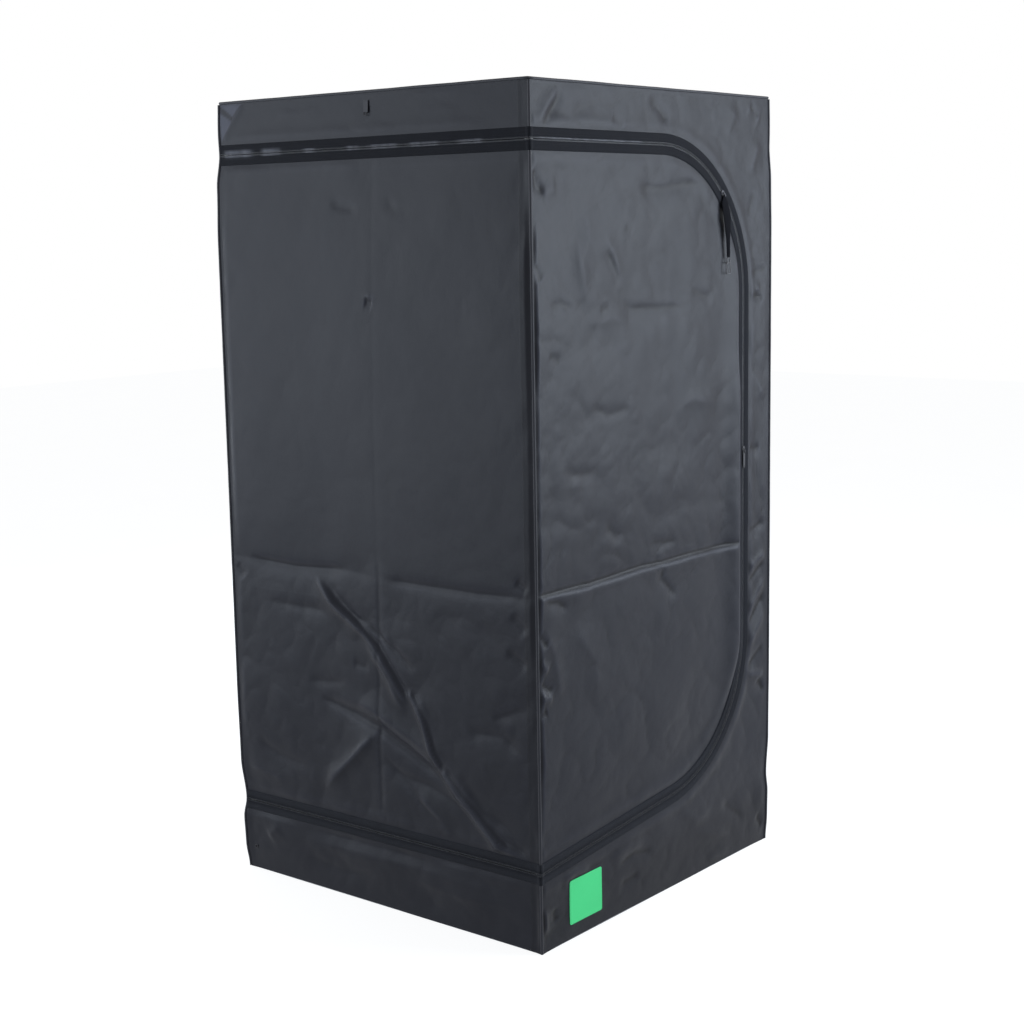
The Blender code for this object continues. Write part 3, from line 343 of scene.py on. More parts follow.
FOLD_GAIN = {"front": 1.6, "left": 1.75, "rear": 1.5, "right": 1.5}


def random_folds(seed, count, low_s, high_s, low_z, high_z):
    """Slack folds of a hidden wall, at seeded random places."""
    rng = np.random.default_rng(seed)
    folds = []
    for _ in range(count):
        s, z = rng.uniform(low_s, high_s), rng.uniform(low_z, high_z)
        angle, length = rng.normal(0, 0.7), rng.uniform(0.06, 0.24)
        bend = rng.normal(0, 0.25)
        points = []
        for _ in range(4):
            points.append((s, z))
            s, z = s + length / 3 * cos(angle), z + length / 3 * sin(angle)
            angle += bend
        height = rng.choice((-1, 1)) * rng.uniform(1.4, 3.4)
        folds.append((height, rng.uniform(9, 20), rng.uniform(10, 26), tuple(points)))
    return folds


def placed_folds(rows):
    """Rows of a fold table, with their points in metres and how far their ends fade."""
    folds = []
    for height, above, below, *line in rows:
        fade = ENDS_FADE if isinstance(line[-1], tuple) else line.pop()
        folds.append((height, above, below, tuple((s / 1000, z / 1000) for s, z in line), fade))
    return folds


REAR_FOLDS = (
    (-3.6, 9, 26, (-490, 846), (-200, 840), (100, 845), (490, 848)),
    (-2.6, 9, 9, (4, 430), (0, 900), (-6, 1500)),
)
RIGHT_FOLDS = (
    (-3.6, 9, 26, (-490, 850), (-200, 842), (100, 840), (490, 846)),
    (-2.6, 9, 9, (-4, 420), (0, 900), (6, 1950)),
)
FOLDS = {
    "front": placed_folds(FRONT_FOLDS),
    "left": placed_folds(LEFT_FOLDS),
    "rear": placed_folds(REAR_FOLDS) + random_folds(7, 26, -0.42, 0.30, 0.10, 1.90),
    "right": placed_folds(RIGHT_FOLDS) + random_folds(11, 28, -0.42, 0.30, 0.08, 1.90),
}
SEEDS = {"front": 21, "left": 33, "rear": 47, "right": 59}


def hump(away, width):
    """1 at a line, falling to both sides with the distance away from it."""
    return np.exp(-((away / width) ** 2))


def past_port(port, s, z):
    """Distance outward from a port's rim."""
    middle, height, radius = port
    return np.hypot(s - middle, z - height) - radius


def past_vent(s, z):
    """Distance outward from the vent's opening."""
    half, low, high = VENT
    return np.maximum(np.abs(s) - half, np.maximum(low - z, z - high))


def swell(wall, s, z):
    """Broad shape of a wall between its seams."""
    if wall == "front":
        offset = zip_offset(s, z)
        run = eased(0.42, 0.60, z) * (1 - eased(1.56, 1.70, z)) * (s > 0)
        past = offset + BAND_HALF
        bulge = hump(past, np.where(past < 0, 0.045, 0.0095))
        bulge = 0.0130 * run * bulge * (1 - 0.45 * eased(1.22, 1.38, z))
        rest = 0.0022 * (1 - run) * hump(offset + 0.045, 0.018)
        body = 0.004 * eased(0.03, 0.25, -offset)
        return bulge + rest + body + 0.0020 * hump(offset - 0.040, 0.014)
    if wall == "left":
        low = z - side_zip_z(s)
        inside = np.minimum(low, ZIP_TOP - z)
        body = 0.004 * eased(0.03, 0.25, inside) - 0.002 * eased(0.0, 0.3, CREASE_Z - z)
        return body + 0.0016 * hump(inside - 0.042, 0.016) + 0.0014 * hump(inside + 0.040, 0.014)
    full = 0.003 * eased(0.02, 0.3, np.minimum(z, TOP - z))
    return full * eased(0.024, 0.10, past_vent(s, z)) if wall == "rear" else full


def held(wall, s, z):
    """1 where the cloth is free, 0 on a tape, patch or port that holds it flat."""
    free = np.ones(np.shape(s))
    if wall == "front":
        free = eased(0.020, 0.040, np.abs(zip_offset(s, z)))
        x, middle, width, height = LABEL
        past = np.maximum(np.abs(s - x) - width / 2, np.abs(z - middle) - height / 2)
        free = free * (0.25 + 0.75 * eased(-0.004, 0.012, past))
    if wall == "left":
        distance = np.minimum(np.abs(z - ZIP_TOP), np.abs(z - side_zip_z(s)))
        free = eased(0.020, 0.040, distance)
    if wall == "rear":
        free = eased(0.028, 0.055, past_port(REAR_DUCT, s, z))
        free = free * eased(0.022, 0.090, past_vent(s, z))
    if wall == "right":
        for port in (RIGHT_DUCT, CABLE):
            free = free * eased(0.028, 0.050, past_port(port, s, z))
    return free


def crumple_share(wall, z):
    """How crumpled a wall is at a height: the left one is smooth above its crease."""
    low = 1 - eased(0.76, 0.90, z)
    if wall == "front":
        return 1.0 - 0.35 * low
    if wall == "left":
        return 0.30 + 0.60 * low
    return 0.8


def rise(wall, s, z):
    """Height of the cloth's mid-plane off its flat wall."""
    s, z = np.broadcast_arrays(np.asarray(s, float), np.asarray(z, float))
    folds = np.zeros(s.shape)
    for height, above, below, *line in FOLDS[wall]:
        add_crease(folds, s, z, height * FOLD_GAIN[wall], above, below, *line)
    seed = SEEDS[wall]
    folds += 0.0022 * noise(s, z, 0.21, seed)
    crumpled = 0
    for height, size, turn in ((0.0046, 0.14, 1), (0.0020, 0.062, 6), (0.0008, 0.033, 2)):
        crumpled = crumpled + height * np.abs(noise(s, z, size, seed + turn))
    folds += crumple_share(wall, z) * (crumpled - 0.0020)
    folds += 0.0010 * hump(SIDE - np.abs(s), 0.06) * noise(s, z, 0.045, seed + 3)
    # The cloth rises steeply beside the near corner's piping, and gently at the other corners
    reach = np.where((s < 0) & (wall in ("front", "left")), 0.017, 0.032)
    edge = eased(PIPING_EDGE, reach, SIDE - np.abs(s)) * eased(PIPING_EDGE, 0.020, TOP - z)
    at_foot = 0.25 + 0.75 * eased(0.0, 0.045, z)
    total = edge * at_foot * (folds * held(wall, s, z) + swell(wall, s, z))
    if wall in ("left", "right"):
        # The bars' clips hang close behind the top of these walls
        total = np.where((total < 0) & (z > 1.88), total * 0.15, total)
    return total


LEAN_Z = (0.0, 0.07, 0.14, 0.190, 0.30, 0.50, 1.65, 1.79, 1.868, 1.92, 2.0)
LEAN_SHARE = (0.0, 0.55, 0.70, 0.10, 0.85, 1.0, 1.0, 0.75, 0.10, 0.18, 0.0)
LEANS = (((-1, 1), (-0.0100, 0.0095), 0.24), ((1, -1), (0.0050, -0.0050), 0.385),
         ((1, 1), (0.0050, 0.0050), 0.24))


def lean(x, y, z):
    """Bows the standing corners outward, and waves the bottom hem."""
    places = np.searchsorted(LEAN_Z, np.clip(z, 0, 1.9999), side="right") - 1
    low, high = np.take(LEAN_Z, places), np.take(LEAN_Z, places + 1)
    t = eased(0, 1, (z - low) / (high - low))
    share = np.take(LEAN_SHARE, places) * (1 - t) + np.take(LEAN_SHARE, places + 1) * t
    new_x, new_y = x, y
    for (side_x, side_y), (move_x, move_y), start in LEANS:
        weight = eased(start, SIDE, side_x * x) * eased(0.16, SIDE, side_y * y) * share
        new_x, new_y = new_x + weight * move_x, new_y + weight * move_y
    around = np.abs(np.abs(x) - np.abs(y))
    lift = 0.0020 * (1 + noise(x, y, 0.13, 5)) * eased(0.0, 0.08, around)
    return np.stack((new_x, new_y, z + lift * np.clip(1 - z / 0.06, 0, 1) ** 2), axis=-1)


def on_wall(wall, s, z, height):
    """Places on a wall, height off the cloth's mid-plane."""
    out = SIDE + height + rise(wall, s, z)
    s, z, out = np.broadcast_arrays(np.asarray(s, float), np.asarray(z, float), out)
    if wall in ("front", "rear"):
        return lean(s, -out if wall == "front" else out, z)
    return lean(-out if wall == "left" else out, s, z)


def on_roof(x, y, height):
    """Places on the roof, which sags a little between its edges and bars."""
    free = eased(PIPING_EDGE, 0.05, SIDE - np.abs(x)) * eased(PIPING_EDGE, 0.05, SIDE - np.abs(y))
    sag = 0.0016 * (1 - np.cos(x * pi / SIDE * 2)) * 0.5 + 0.0009 * noise(x, y, 0.11, 71)
    folds = np.zeros(np.shape(x))
    for fold in random_folds(73, 14, -0.4, 0.3, -0.4, 0.4):
        add_crease(folds, x, y, abs(fold[0]) * 0.6, *fold[1:])
    z = TOP + height + free * (np.abs(folds) - sag * 0.5 + 0.0003)
    return np.stack((np.broadcast_to(x, z.shape), np.broadcast_to(y, z.shape), z), axis=-1)


def round_corner(u, z, height):
    """Places along both door walls: u runs from the near corner, on the left wall below 0."""
    u, z, height = np.broadcast_arrays(np.asarray(u, float), np.asarray(z, float), height)
    under_binding = 0.0007 * eased(-0.037, -0.033, u) * (1 - eased(0.0, 0.004, u))
    over_piping = 0.0046 * hump(u, 0.0048)
    places = np.empty(u.shape + (3,))
    front, left = u > CORNER, u < -CORNER
    bend = ~(front | left)
    lifted = height + (under_binding + over_piping)
    places[front] = on_wall("front", u[front] - SIDE, z[front], lifted[front])
    places[left] = on_wall("left", -u[left] - SIDE, z[left], lifted[left])
    angle = (CORNER - u[bend]) / (2 * CORNER) * pi / 2
    reach = CORNER + lifted[bend]
    x, y = CORNER - SIDE - reach * np.sin(angle), CORNER - SIDE - reach * np.cos(angle)
    places[bend] = lean(x, y, z[bend])
    return places


# Meshes


def make_object(name, places, faces, materials, indices=None, uvs=None, wear=None, angle=50):
    """A mesh object from places and faces."""
    mesh = bpy.data.meshes.new(name)
    mesh.from_pydata(np.asarray(places).tolist(), [], faces)
    for material in materials:
        mesh.materials.append(material)
    if indices is not None:
        mesh.polygons.foreach_set("material_index", np.asarray(indices, np.int32))
    if uvs is not None:
        corners = np.empty(len(mesh.loops), np.int32)
        mesh.loops.foreach_get("vertex_index", corners)
        layer = mesh.uv_layers.new(name="cloth")
        layer.data.foreach_set("uv", np.asarray(uvs, np.float32)[corners].ravel())
    if wear is not None:
        attribute = mesh.attributes.new("wear", "FLOAT", "POINT")
        attribute.data.foreach_set("value", np.asarray(wear, np.float32))
    mesh.shade_smooth()
    mesh.set_sharp_from_angle(angle=radians(angle))
    mesh.update()
    obj = bpy.data.objects.new(name, mesh)
    bpy.context.scene.collection.objects.link(obj)
    return obj


def spaced(low, high, step, fine=()):
    """Grid lines from low to high, closer together round each fine (place, reach)."""
    blend = 0.03
    lines = [low]
    while lines[-1] < high:
        here = step
        for place, reach in fine:
            away = max(0.0, abs(lines[-1] - place) - reach) / blend
            here = min(here, FINE_STEP + (step - FINE_STEP) * away)
        lines.append(lines[-1] + here)
    lines = np.array(lines)
    return low + (lines - low) * (high - low) / (lines[-1] - low)


def cut_grid(us, vs, inside=None):
    """Flat points and faces of a grid, cut along the line where inside(u, v) is 0."""
    least_share = 0.06
    wide, tall = np.meshgrid(us, vs, indexing="ij")
    value = np.ones(wide.shape) if inside is None else inside(wide, tall)
    keep = value > 0
    index = np.full(wide.shape, -1)
    index[keep] = np.arange(keep.sum())
    points = np.stack((wide[keep], tall[keep]), axis=-1).tolist()
    count = keep[:-1, :-1].astype(int) + keep[1:, :-1] + keep[1:, 1:] + keep[:-1, 1:]
    full = count == 4
    quads = np.stack((index[:-1, :-1][full], index[1:, :-1][full], index[1:, 1:][full],
                      index[:-1, 1:][full]), axis=-1)
    faces = quads.tolist()
    crossings = {}
    for i, j in np.argwhere((count > 0) & (count < 4)):
        ring = [(i, j), (i + 1, j), (i + 1, j + 1), (i, j + 1)]
        corners = []
        for a, b in zip(ring, ring[1:] + ring[:1]):
            if keep[a]:
                corners.append(int(index[a]))
            if keep[a] != keep[b]:
                key = tuple(sorted((a, b)))
                if key not in crossings:
                    share = value[a] / (value[a] - value[b])
                    share = np.clip(share, least_share, 1 - least_share)
                    points.append([us[a[0]] + (us[b[0]] - us[a[0]]) * share,
                                   vs[a[1]] + (vs[b[1]] - vs[a[1]]) * share])
                    crossings[key] = len(points) - 1
                corners.append(crossings[key])
        faces.append(corners)
    return np.array(points), faces


def flat_area(points, faces):
    """Area of flat faces."""
    total = 0.0
    for face in faces:
        ring = points[face]
        following = np.roll(ring, -1, axis=0)
        total += abs(np.sum(ring[:, 0] * following[:, 1] - ring[:, 1] * following[:, 0])) / 2
    return total


def thin_solid(name, points, faces, place, materials, thick=CANVAS, flip=False, wear=None):
    """A closed sheet, thick through, from flat points and faces. place(u, v, height) sets it."""
    count = len(points)
    u, v = points[:, 0], points[:, 1]
    places = np.concatenate((place(u, v, thick / 2), place(u, v, -thick / 2)))
    outer = [list(reversed(face)) for face in faces] if flip else [list(face) for face in faces]
    inner = [[k + count for k in reversed(face)] for face in outer]
    edges = {(face[k - 1], face[k]) for face in outer for k in range(len(face))}
    rim = [[b, a, a + count, b + count] for a, b in sorted(edges) if (b, a) not in edges]
    indices = [0] * len(outer) + [1] * len(inner) + [0] * len(rim)
    if wear is not None:
        wear = np.concatenate((wear, wear))
    uvs = np.concatenate((points, points))
    return make_object(name, places, outer + inner + rim, materials, indices, uvs, wear)


# (y, z) corners of the folded facets in the left wall's rear top corner, painted pale as painted
# light
LIT_CORNER_FACETS = (((0.4965, 1.992), (0.412, 1.992), (0.446, 1.960)),
                 ((0.4965, 1.975), (0.446, 1.950), (0.488, 1.900)))


def inside_triangle(s, z, corners):
    """1 inside a triangle of (s, z) corners, 0 outside, over a soft edge."""
    depth = np.full(np.shape(s), 1.0)
    middle = np.mean(corners, axis=0)
    for (s0, z0), (s1, z1) in zip(corners, corners[1:] + corners[:1]):
        length = hypot(s1 - s0, z1 - z0)
        across = ((s1 - s0) * (z - z0) - (z1 - z0) * (s - s0)) / length
        turn = (s1 - s0) * (middle[1] - z0) - (z1 - z0) * (middle[0] - s0)
        depth = np.minimum(depth, across * np.sign(turn))
    return eased(-0.002, 0.004, depth)


def worn_and_painted_light(wall, points):
    """Rubbing on ridges, painted shade in furrows and near the foot, painted light on corner
    facets.
    """
    s, z, step = points[:, 0], points[:, 1], 0.004
    around = rise(wall, s + step, z) + rise(wall, s - step, z)
    around += rise(wall, s, z + step) + rise(wall, s, z - step)
    bend = (4 * rise(wall, s, z) - around) / step**2
    # Ridges are rubbed paler; the darker furrows are painted shade
    ridges, furrow_shade = np.clip(bend / 260, 0, 0.22), np.clip(bend / 60, -0.9, 0)
    wear = np.where(bend > 0, ridges, furrow_shade)
    if wall in ("front", "left"):
        # Painted shade: darker towards the foot of the front and left walls
        painted_shade_at_foot = 0.40 * (1 - eased(0.08, 0.21, z))
        wear = wear - painted_shade_at_foot
    if wall == "left":
        # Painted light: the folded facets that face the light are made pale
        for corners in LIT_CORNER_FACETS:
            wear = np.maximum(wear, inside_triangle(s, z, corners))
    return wear


def add_sheet(points, faces):
    """Measures a cloth piece's flat size and area, which nothing uses."""
    width, length = (float(span) for span in points.max(axis=0) - points.min(axis=0))
    area = min(flat_area(points, faces), width * length)


def add_cloth(name, grid, place, skins, held_as, rests_on, body, slot, node_name, **values):
    """A cloth piece from the flat points and faces of a grid, with its two skins' materials."""
    points, faces = grid
    obj = thin_solid(name, points, faces, place, [MATERIAL[skin] for skin in skins], **values)
    add_sheet(points, faces)
    return finish_piece(obj, body, slot, node_name)


def wall_cloth(name, wall, lines, inside, body, rests_on, node_name):
    """One panel of the tent's skin: dark canvas outside and silver lining inside."""
    grid = cut_grid(*lines, inside)
    return add_cloth(name, grid, partial(on_wall, wall), ("canvas", "lining"), "stretched",
                     rests_on, body, "canvas", node_name, flip=wall in ("left", "rear"),
                     wear=worn_and_painted_light(wall, grid[0]))


def finish_piece(obj, body, slot, *nodes):
    """Rides a piece on its body and hides the CAD nodes it stands for; its slot is not used."""
    if body:
        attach(obj, body)
    if nodes:
        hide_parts(*nodes)
    return obj


def ring_faces(first, second, sides, flip=False):
    """Faces between two rings of places, each ring given by its number."""
    faces = []
    for n in range(sides):
        a, b = first * sides + n, first * sides + (n + 1) % sides
        c, d = second * sides + (n + 1) % sides, second * sides + n
        faces.append([a, d, c, b] if flip else [a, b, c, d])
    return faces


def tube_along(name, line, radius, sides, material, closed=False):
    """A round bar along a line of places, with caps unless it is closed."""
    line = np.asarray(line, float)
    count = len(line)
    radii = np.broadcast_to(np.asarray(radius, float), (count,))
    if closed:
        tangents = np.roll(line, -1, axis=0) - np.roll(line, 1, axis=0)
    else:
        tangents = np.gradient(line, axis=0)
    tangents = tangents / np.linalg.norm(tangents, axis=1)[:, None]
    helper = np.array((0.0, 0.0, 1.0)) if abs(tangents[0][2]) < 0.8 else np.array((1.0, 0.0, 0.0))
    places, normal = [], np.cross(tangents[0], helper)
    for k in range(count):
        normal = normal - tangents[k] * np.dot(normal, tangents[k])
        normal = normal / np.linalg.norm(normal)
        across = np.cross(tangents[k], normal)
        for n in range(sides):
            angle = 2 * pi * n / sides
            places.append(line[k] + radii[k] * (cos(angle) * normal + sin(angle) * across))
    faces = []
    for k in range(count if closed else count - 1):
        faces += ring_faces(k, (k + 1) % count, sides)
    if not closed:
        faces.append(list(reversed(range(sides))))
        faces.append([(count - 1) * sides + n for n in range(sides)])
    return make_object(name, places, faces, [material])


def swept(name, runs, materials, uvs, wear=None):
    """A closed outline swept along stations: runs[i][k] is outline point i at station k."""
    runs = np.asarray(runs)
    points, stations = runs.shape[:2]
    places = runs.reshape(-1, 3)
    faces = []
    for i in range(points):
        j = (i + 1) % points
        for k in range(stations - 1):
            a, b = i * stations + k, j * stations + k
            faces.append([a, a + 1, b + 1, b])
    faces.append([i * stations for i in range(points)])
    faces.append([i * stations + stations - 1 for i in reversed(range(points))])
    return make_object(name, places, faces, materials, None, np.concatenate(uvs), wear, angle=40)


# Sewing and zips along a path of (u, z) stations


class Path:
    """A line on the cloth, measured along its length from its first corner."""

    def __init__(self, corners):
        self.corners = np.asarray(corners, float)
        lengths = np.hypot(*np.diff(self.corners, axis=0).T)
        self.marks = np.concatenate(((0,), np.cumsum(lengths)))
        self.length = self.marks[-1]

    def places(self, at):
        """Flat places at distances along the path."""
        return np.stack([np.interp(at, self.marks, self.corners[:, k]) for k in (0, 1)], axis=-1)

    def direction(self, at):
        """Unit steps along the path there."""
        reach = 0.002
        ahead = self.places(np.clip(at + reach, 0, self.length))
        behind = self.places(np.clip(at - reach, 0, self.length))
        along = ahead - behind
        return along / np.linalg.norm(along, axis=1)[:, None]

    def offset(self, at, across):
        """Flat places to the left of the path by the distances across."""
        along = self.direction(at)
        side = np.stack((-along[:, 1], along[:, 0]), axis=-1)
        return self.places(at) + side * np.asarray(across)[..., None]


def door_zip_corners():
    """(u, z) corners of the whole zip line, from the far end of the top run to the bottom's."""
    bend, step = 0.012, 0.002
    upper = [pi / 2 * (1 - k / 72) for k in range(73)]
    lower = [-(pi / 2 - RUN_ANGLE) * k / 68 for k in range(69)]
    corners = [(-SIDE - CLOTH_EDGE, ZIP_TOP)]
    corners += [(u, ZIP_TOP) for u in np.arange(-bend, bend + 0.0001, step)]
    for angles, centre_z in ((upper, TOP_ARC_Z), (lower, BOTTOM_ARC_Z)):
        corners += [(SIDE + ARC_X + ARC * cos(a), centre_z + ARC * sin(a)) for a in angles]
    corners += [(u, ZIP_BOTTOM + u * tan(RUN_ANGLE)) for u in np.arange(bend, -0.0001, -step)]
    corners.append((-bend, ZIP_BOTTOM))
    corners.append((-SIDE - CLOTH_EDGE, ZIP_BOTTOM_REAR))
    return corners


def zip_stations(path, low, high):
    """Stations from low to high along the path, close together at the near corner."""
    corner_reach, corner_step = 0.011, 0.0011
    marks = [low]
    while marks[-1] < high:
        u = path.places(np.array([marks[-1]]))[0][0]
        marks.append(marks[-1] + (corner_step if abs(u) < corner_reach else BAND_STEP))
    marks[-1] = high
    return np.array(marks)


def puff(at, seed):
    """How full the cloth band over a tape is along its length."""
    return 0.85 + 0.30 * wave(at, 0.05, seed) + 0.18 * wave(at, 0.017, seed + 1)


def lip(at, across, seed):
    """How far the edge beside the teeth lifts, most at the far end of the top run."""
    loose = hump(at, 0.42)
    lifted = np.clip(wave(at, 0.055, seed) + 0.25, 0, 1)
    return loose * lifted * 0.0022 * hump(np.abs(across) - 0.009, 0.006)


# Stretches of the path where the band's edge stands up and catches the light, painted paler as a
# highlight, with its width
HIGHLIGHT_STRETCHES = ((0.005, 0.132, 0.0065), (0.140, 0.225, 0.0055), (0.285, 0.345, 0.0040),
                (0.430, 0.490, 0.0035), (0.498, 0.612, 0.0035), (0.630, 0.738, 0.0030),
                (0.776, 0.870, 0.0030), (1.010, 1.420, 0.0016))


def painted_edge_highlight(at, across):
    """0 to 1, the painted highlight on the band's lifted edge at a distance across the zip, in
    metres.
    """
    total, taper = np.zeros(np.shape(at)), 0.025
    for low, high, width in HIGHLIGHT_STRETCHES:
        along = eased(low, low + taper, at) * (1 - eased(high - taper, high, at))
        along = along * (0.62 + 0.5 * wave(at, 0.012, 17))
        total = total + along * (1 - eased(width, width + 0.002, np.abs(across - 0.001)))
    return np.clip(total, 0, 1)


# Outline of a zip band in mm: distance from the zip line and height
BAND = ((0.7, 0.8), (25.0, 0.8), (25.2, 1.3), (24.0, 2.3), (20.0, 2.9), (14.0, 3.0), (7.0, 2.7),
        (4.8, 2.1), (3.7, 1.45), (0.7, 1.35))


def add_tape(name, path, low, high, side, seed, body, *nodes):
    """A zip tape under its puffed cloth band, with its woven edge beside the teeth."""
    at = zip_stations(path, low, high)
    runs, uvs, wear = [], [], []
    full, tape_top, beside_teeth, crown = puff(at, seed), 0.0013, 8, 1.4
    for across, height in BAND:
        flat = path.offset(at, side * across * MM)
        plump = np.minimum(full, 0.95) if across < beside_teeth else full
        raised = height * MM
        if height > crown:
            raised = tape_top + (raised - tape_top) * plump
        raised = raised + lip(at, across * MM, seed + 5) * (1 if side > 0 else 0.4)
        runs.append(round_corner(flat[:, 0], flat[:, 1], raised))
        uvs.append(np.stack((at, np.full(at.shape, across * MM)), axis=-1))
        at_foot = 1 - eased(0.25, 0.42, flat[:, 1])
        # Painted highlight on the lifted edges, and the outer band a little paler near the foot
        highlight = painted_edge_highlight(at, side * across * MM) * (height > 1.0)
        wear.append(highlight + 0.05 * at_foot * (across > 13))
    if side < 0:
        runs, uvs, wear = runs[::-1], uvs[::-1], wear[::-1]
    obj = swept(name, runs, [MATERIAL["zip_tape"]], uvs, np.concatenate(wear))
    return finish_piece(obj, body, "zip_tape", *nodes)


def add_small_shapes(name, centres, alongs, shape, faces, place, material, wear=None):
    """Copies of a small flat-built shape at many places. shape holds (along, across, height)."""
    sides = np.stack((-alongs[:, 1], alongs[:, 0]), axis=-1)
    shape = np.asarray(shape, float)
    flat = (centres[:, None, :] + alongs[:, None, :] * shape[None, :, 0, None]
            + sides[:, None, :] * shape[None, :, 1, None])
    heights = np.broadcast_to(shape[None, :, 2], flat.shape[:2])
    places = place(flat[..., 0].ravel(), flat[..., 1].ravel(), heights.ravel())
    count = shape.shape[0]
    all_faces = [[k + n * count for k in face] for n in range(len(centres)) for face in faces]
    wear = None if wear is None else np.repeat(wear, count)
    return make_object(name, places, all_faces, [material], wear=wear, angle=30)


STITCH_FACES = ((0, 1, 5, 4), (2, 3, 4, 5), (1, 2, 5), (3, 0, 4), (3, 2, 1, 0))
TOOTH_FACES = ((0, 3, 2, 1), (4, 5, 6, 7), (0, 1, 5, 4), (1, 2, 6, 5), (2, 3, 7, 6), (3, 0, 4, 7))


def stitch_shape(height):
    """A stitch as a low ridge that ends in points."""
    half, wide, crown = STITCH / 2, THREAD / 2, height + THREAD * 0.55
    return ((-half, -wide, height), (half, -wide, height), (half, wide, height),
            (-half, wide, height), (-half * 0.75, 0, crown), (half * 0.75, 0, crown))


def add_stitches(name, path, low, high, across, height, place, material=None, pitch=STITCH_PITCH):
    """A row of stitches beside a path."""
    at = np.arange(low + pitch / 2, high, pitch)
    return add_small_shapes(name, path.offset(at, across), path.direction(at),
                            stitch_shape(height), STITCH_FACES, place,
                            material or MATERIAL["thread"])


def tooth_shape(side):
    """One coil tooth, from its root on the tape to its head beside the zip line."""
    root, head = side * 4.5 * MM, side * 0.85 * MM
    low, high = 1.35 * MM, 2.65 * MM
    along_root, along_head = 0.42 * MM, 0.72 * MM
    return ((-along_root, root, low), (along_root, root, low), (along_head, head, low),
            (-along_head, head, low), (-along_root * 0.6, root * 0.93, high * 0.86),
            (along_root * 0.6, root * 0.93, high * 0.86), (along_head * 0.6, head * 1.25, high),
            (-along_head * 0.6, head * 1.25, high))


def add_teeth(name, path, low, high, side, body):
    """The coil's teeth on one side of the zip line."""
    start = TOOTH_PITCH * (0.25 if side > 0 else 0.75)
    at = np.arange(low + start, high, TOOTH_PITCH)
    centres, alongs = path.places(at), path.direction(at)
    faces = TOOTH_FACES if side < 0 else tuple(tuple(reversed(face)) for face in TOOTH_FACES)
    # Painted highlight: the coil's glint, painted paler on the teeth
    wear = painted_edge_highlight(at, side * 2.5 * MM)
    obj = add_small_shapes(name, centres, alongs, tooth_shape(side), faces, round_corner,
                           MATERIAL["teeth"], wear)
    return finish_piece(obj, body, "zip_tape")


def join(name, objects):
    """One object from several that share a material list."""
    kept = objects[0]
    with bpy.context.temp_override(active_object=kept, selected_editable_objects=objects,
                                   selected_objects=objects):
        bpy.ops.object.join()
    kept.name = kept.data.name = name
    return kept


def add_seams(name, path, low, high, side, body):
    """The two rows of stitches along a zip band."""
    rows = [add_stitches(f"row_{k}", path, low + 0.001, high, side * across, height, round_corner)
            for k, (across, height) in enumerate(BAND_SEAMS)]
    return finish_piece(join(name, rows), body, "piping")


def add_seam_round(name, corners, height, place, body, slot, **values):
    """A row of stitches on a line through the corners."""
    path = Path(corners)
    row = add_stitches(name, path, 0, path.length, 0, height, place, **values)
    return finish_piece(row, body, slot)


def ring_angles(count):
    """Evenly spaced angles of a full turn."""
    return np.linspace(0, 2 * pi, count, endpoint=False)


def round_points(x, z, radius, count):
    """Places round a circle, back to the first."""
    turns = np.linspace(0, 2 * pi, count)
    return np.column_stack((x + radius * np.cos(turns), z + radius * np.sin(turns)))


def add_ring(name, line, radius, sides, material, body):
    """A closed metal ring along a line of places."""
    ring = tube_along(name, line, radius, sides, MATERIAL[material], closed=True)
    finish_piece(ring, body, "slider_metal")


def box_corners(x, z, half_width, half_height, order):
    """Corners of a box in an order of 0 to 3, counted round it from its lower left one."""
    signs = ((-1, -1), (1, -1), (1, 1), (-1, 1))
    return [(x + signs[k][0] * half_width, z + signs[k][1] * half_height) for k in order]


def add_zip():
    """The door's zip: the frame's side in one piece, the door's side in three."""
    path = Path(door_zip_corners())
    us = path.corners[:, 0]
    crossings = [path.marks[k] for k in range(len(us)) if abs(us[k]) < 1e-6]
    first, last = crossings[0], crossings[-1]
    add_tape("frame_zip_band", path, 0, path.length, 1, 81, "root", "zip_tape_frame_front",
             "zip_tape_frame_side_top", "zip_tape_frame_side_bottom")
    add_teeth("frame_zip_teeth", path, 0, path.length, 1, "root")
    add_seams("frame_zip_stitches", path, 0, path.length, 1, "root")
    reach = 0.007
    parts = (
        ("side_top", 0.0, first - reach, "zip_tape_door_side_top"),
        ("front", first - reach, last + reach, "zip_tape_door_front"),
        ("side_bottom", last + reach, path.length, "zip_tape_door_side_bottom"),
    )
    for word, low, high, tape in parts:
        pieces = (add_tape(f"door_zip_band_{word}", path, low, high, -1, 91, None, tape),
                  add_teeth(f"door_zip_teeth_{word}", path, low, high, -1, None),
                  add_seams(f"door_zip_stitches_{word}", path, low, high, -1, None))
        for piece in pieces:
            bend_at_near_corner(piece) if word == "front" else bend_at_hinge(piece)


def bend_at_hinge(obj):
    """Bakes the transform of a piece of the door's side, at the rear left corner, into its mesh."""
    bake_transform(obj)


def bend_at_near_corner(obj):
    """Bakes the transform of a piece of the door's front, at the near corner, into its mesh."""
    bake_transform(obj)


# Materials


def node(tree, kind, **values):
    """A shader node with its settings, and its inputs by name: each a value or another's socket."""
    made = tree.nodes.new(kind)
    for name, value in values.items():
        if hasattr(made, name):
            setattr(made, name, value)
        else:
            feed(tree, value, made.inputs[name.replace("_", " ")])
    return made


def feed(tree, value, socket):
    """Sets a socket to a value, or links another socket to it."""
    if isinstance(value, bpy.types.NodeSocket):
        tree.links.new(value, socket)
    else:
        socket.default_value = value


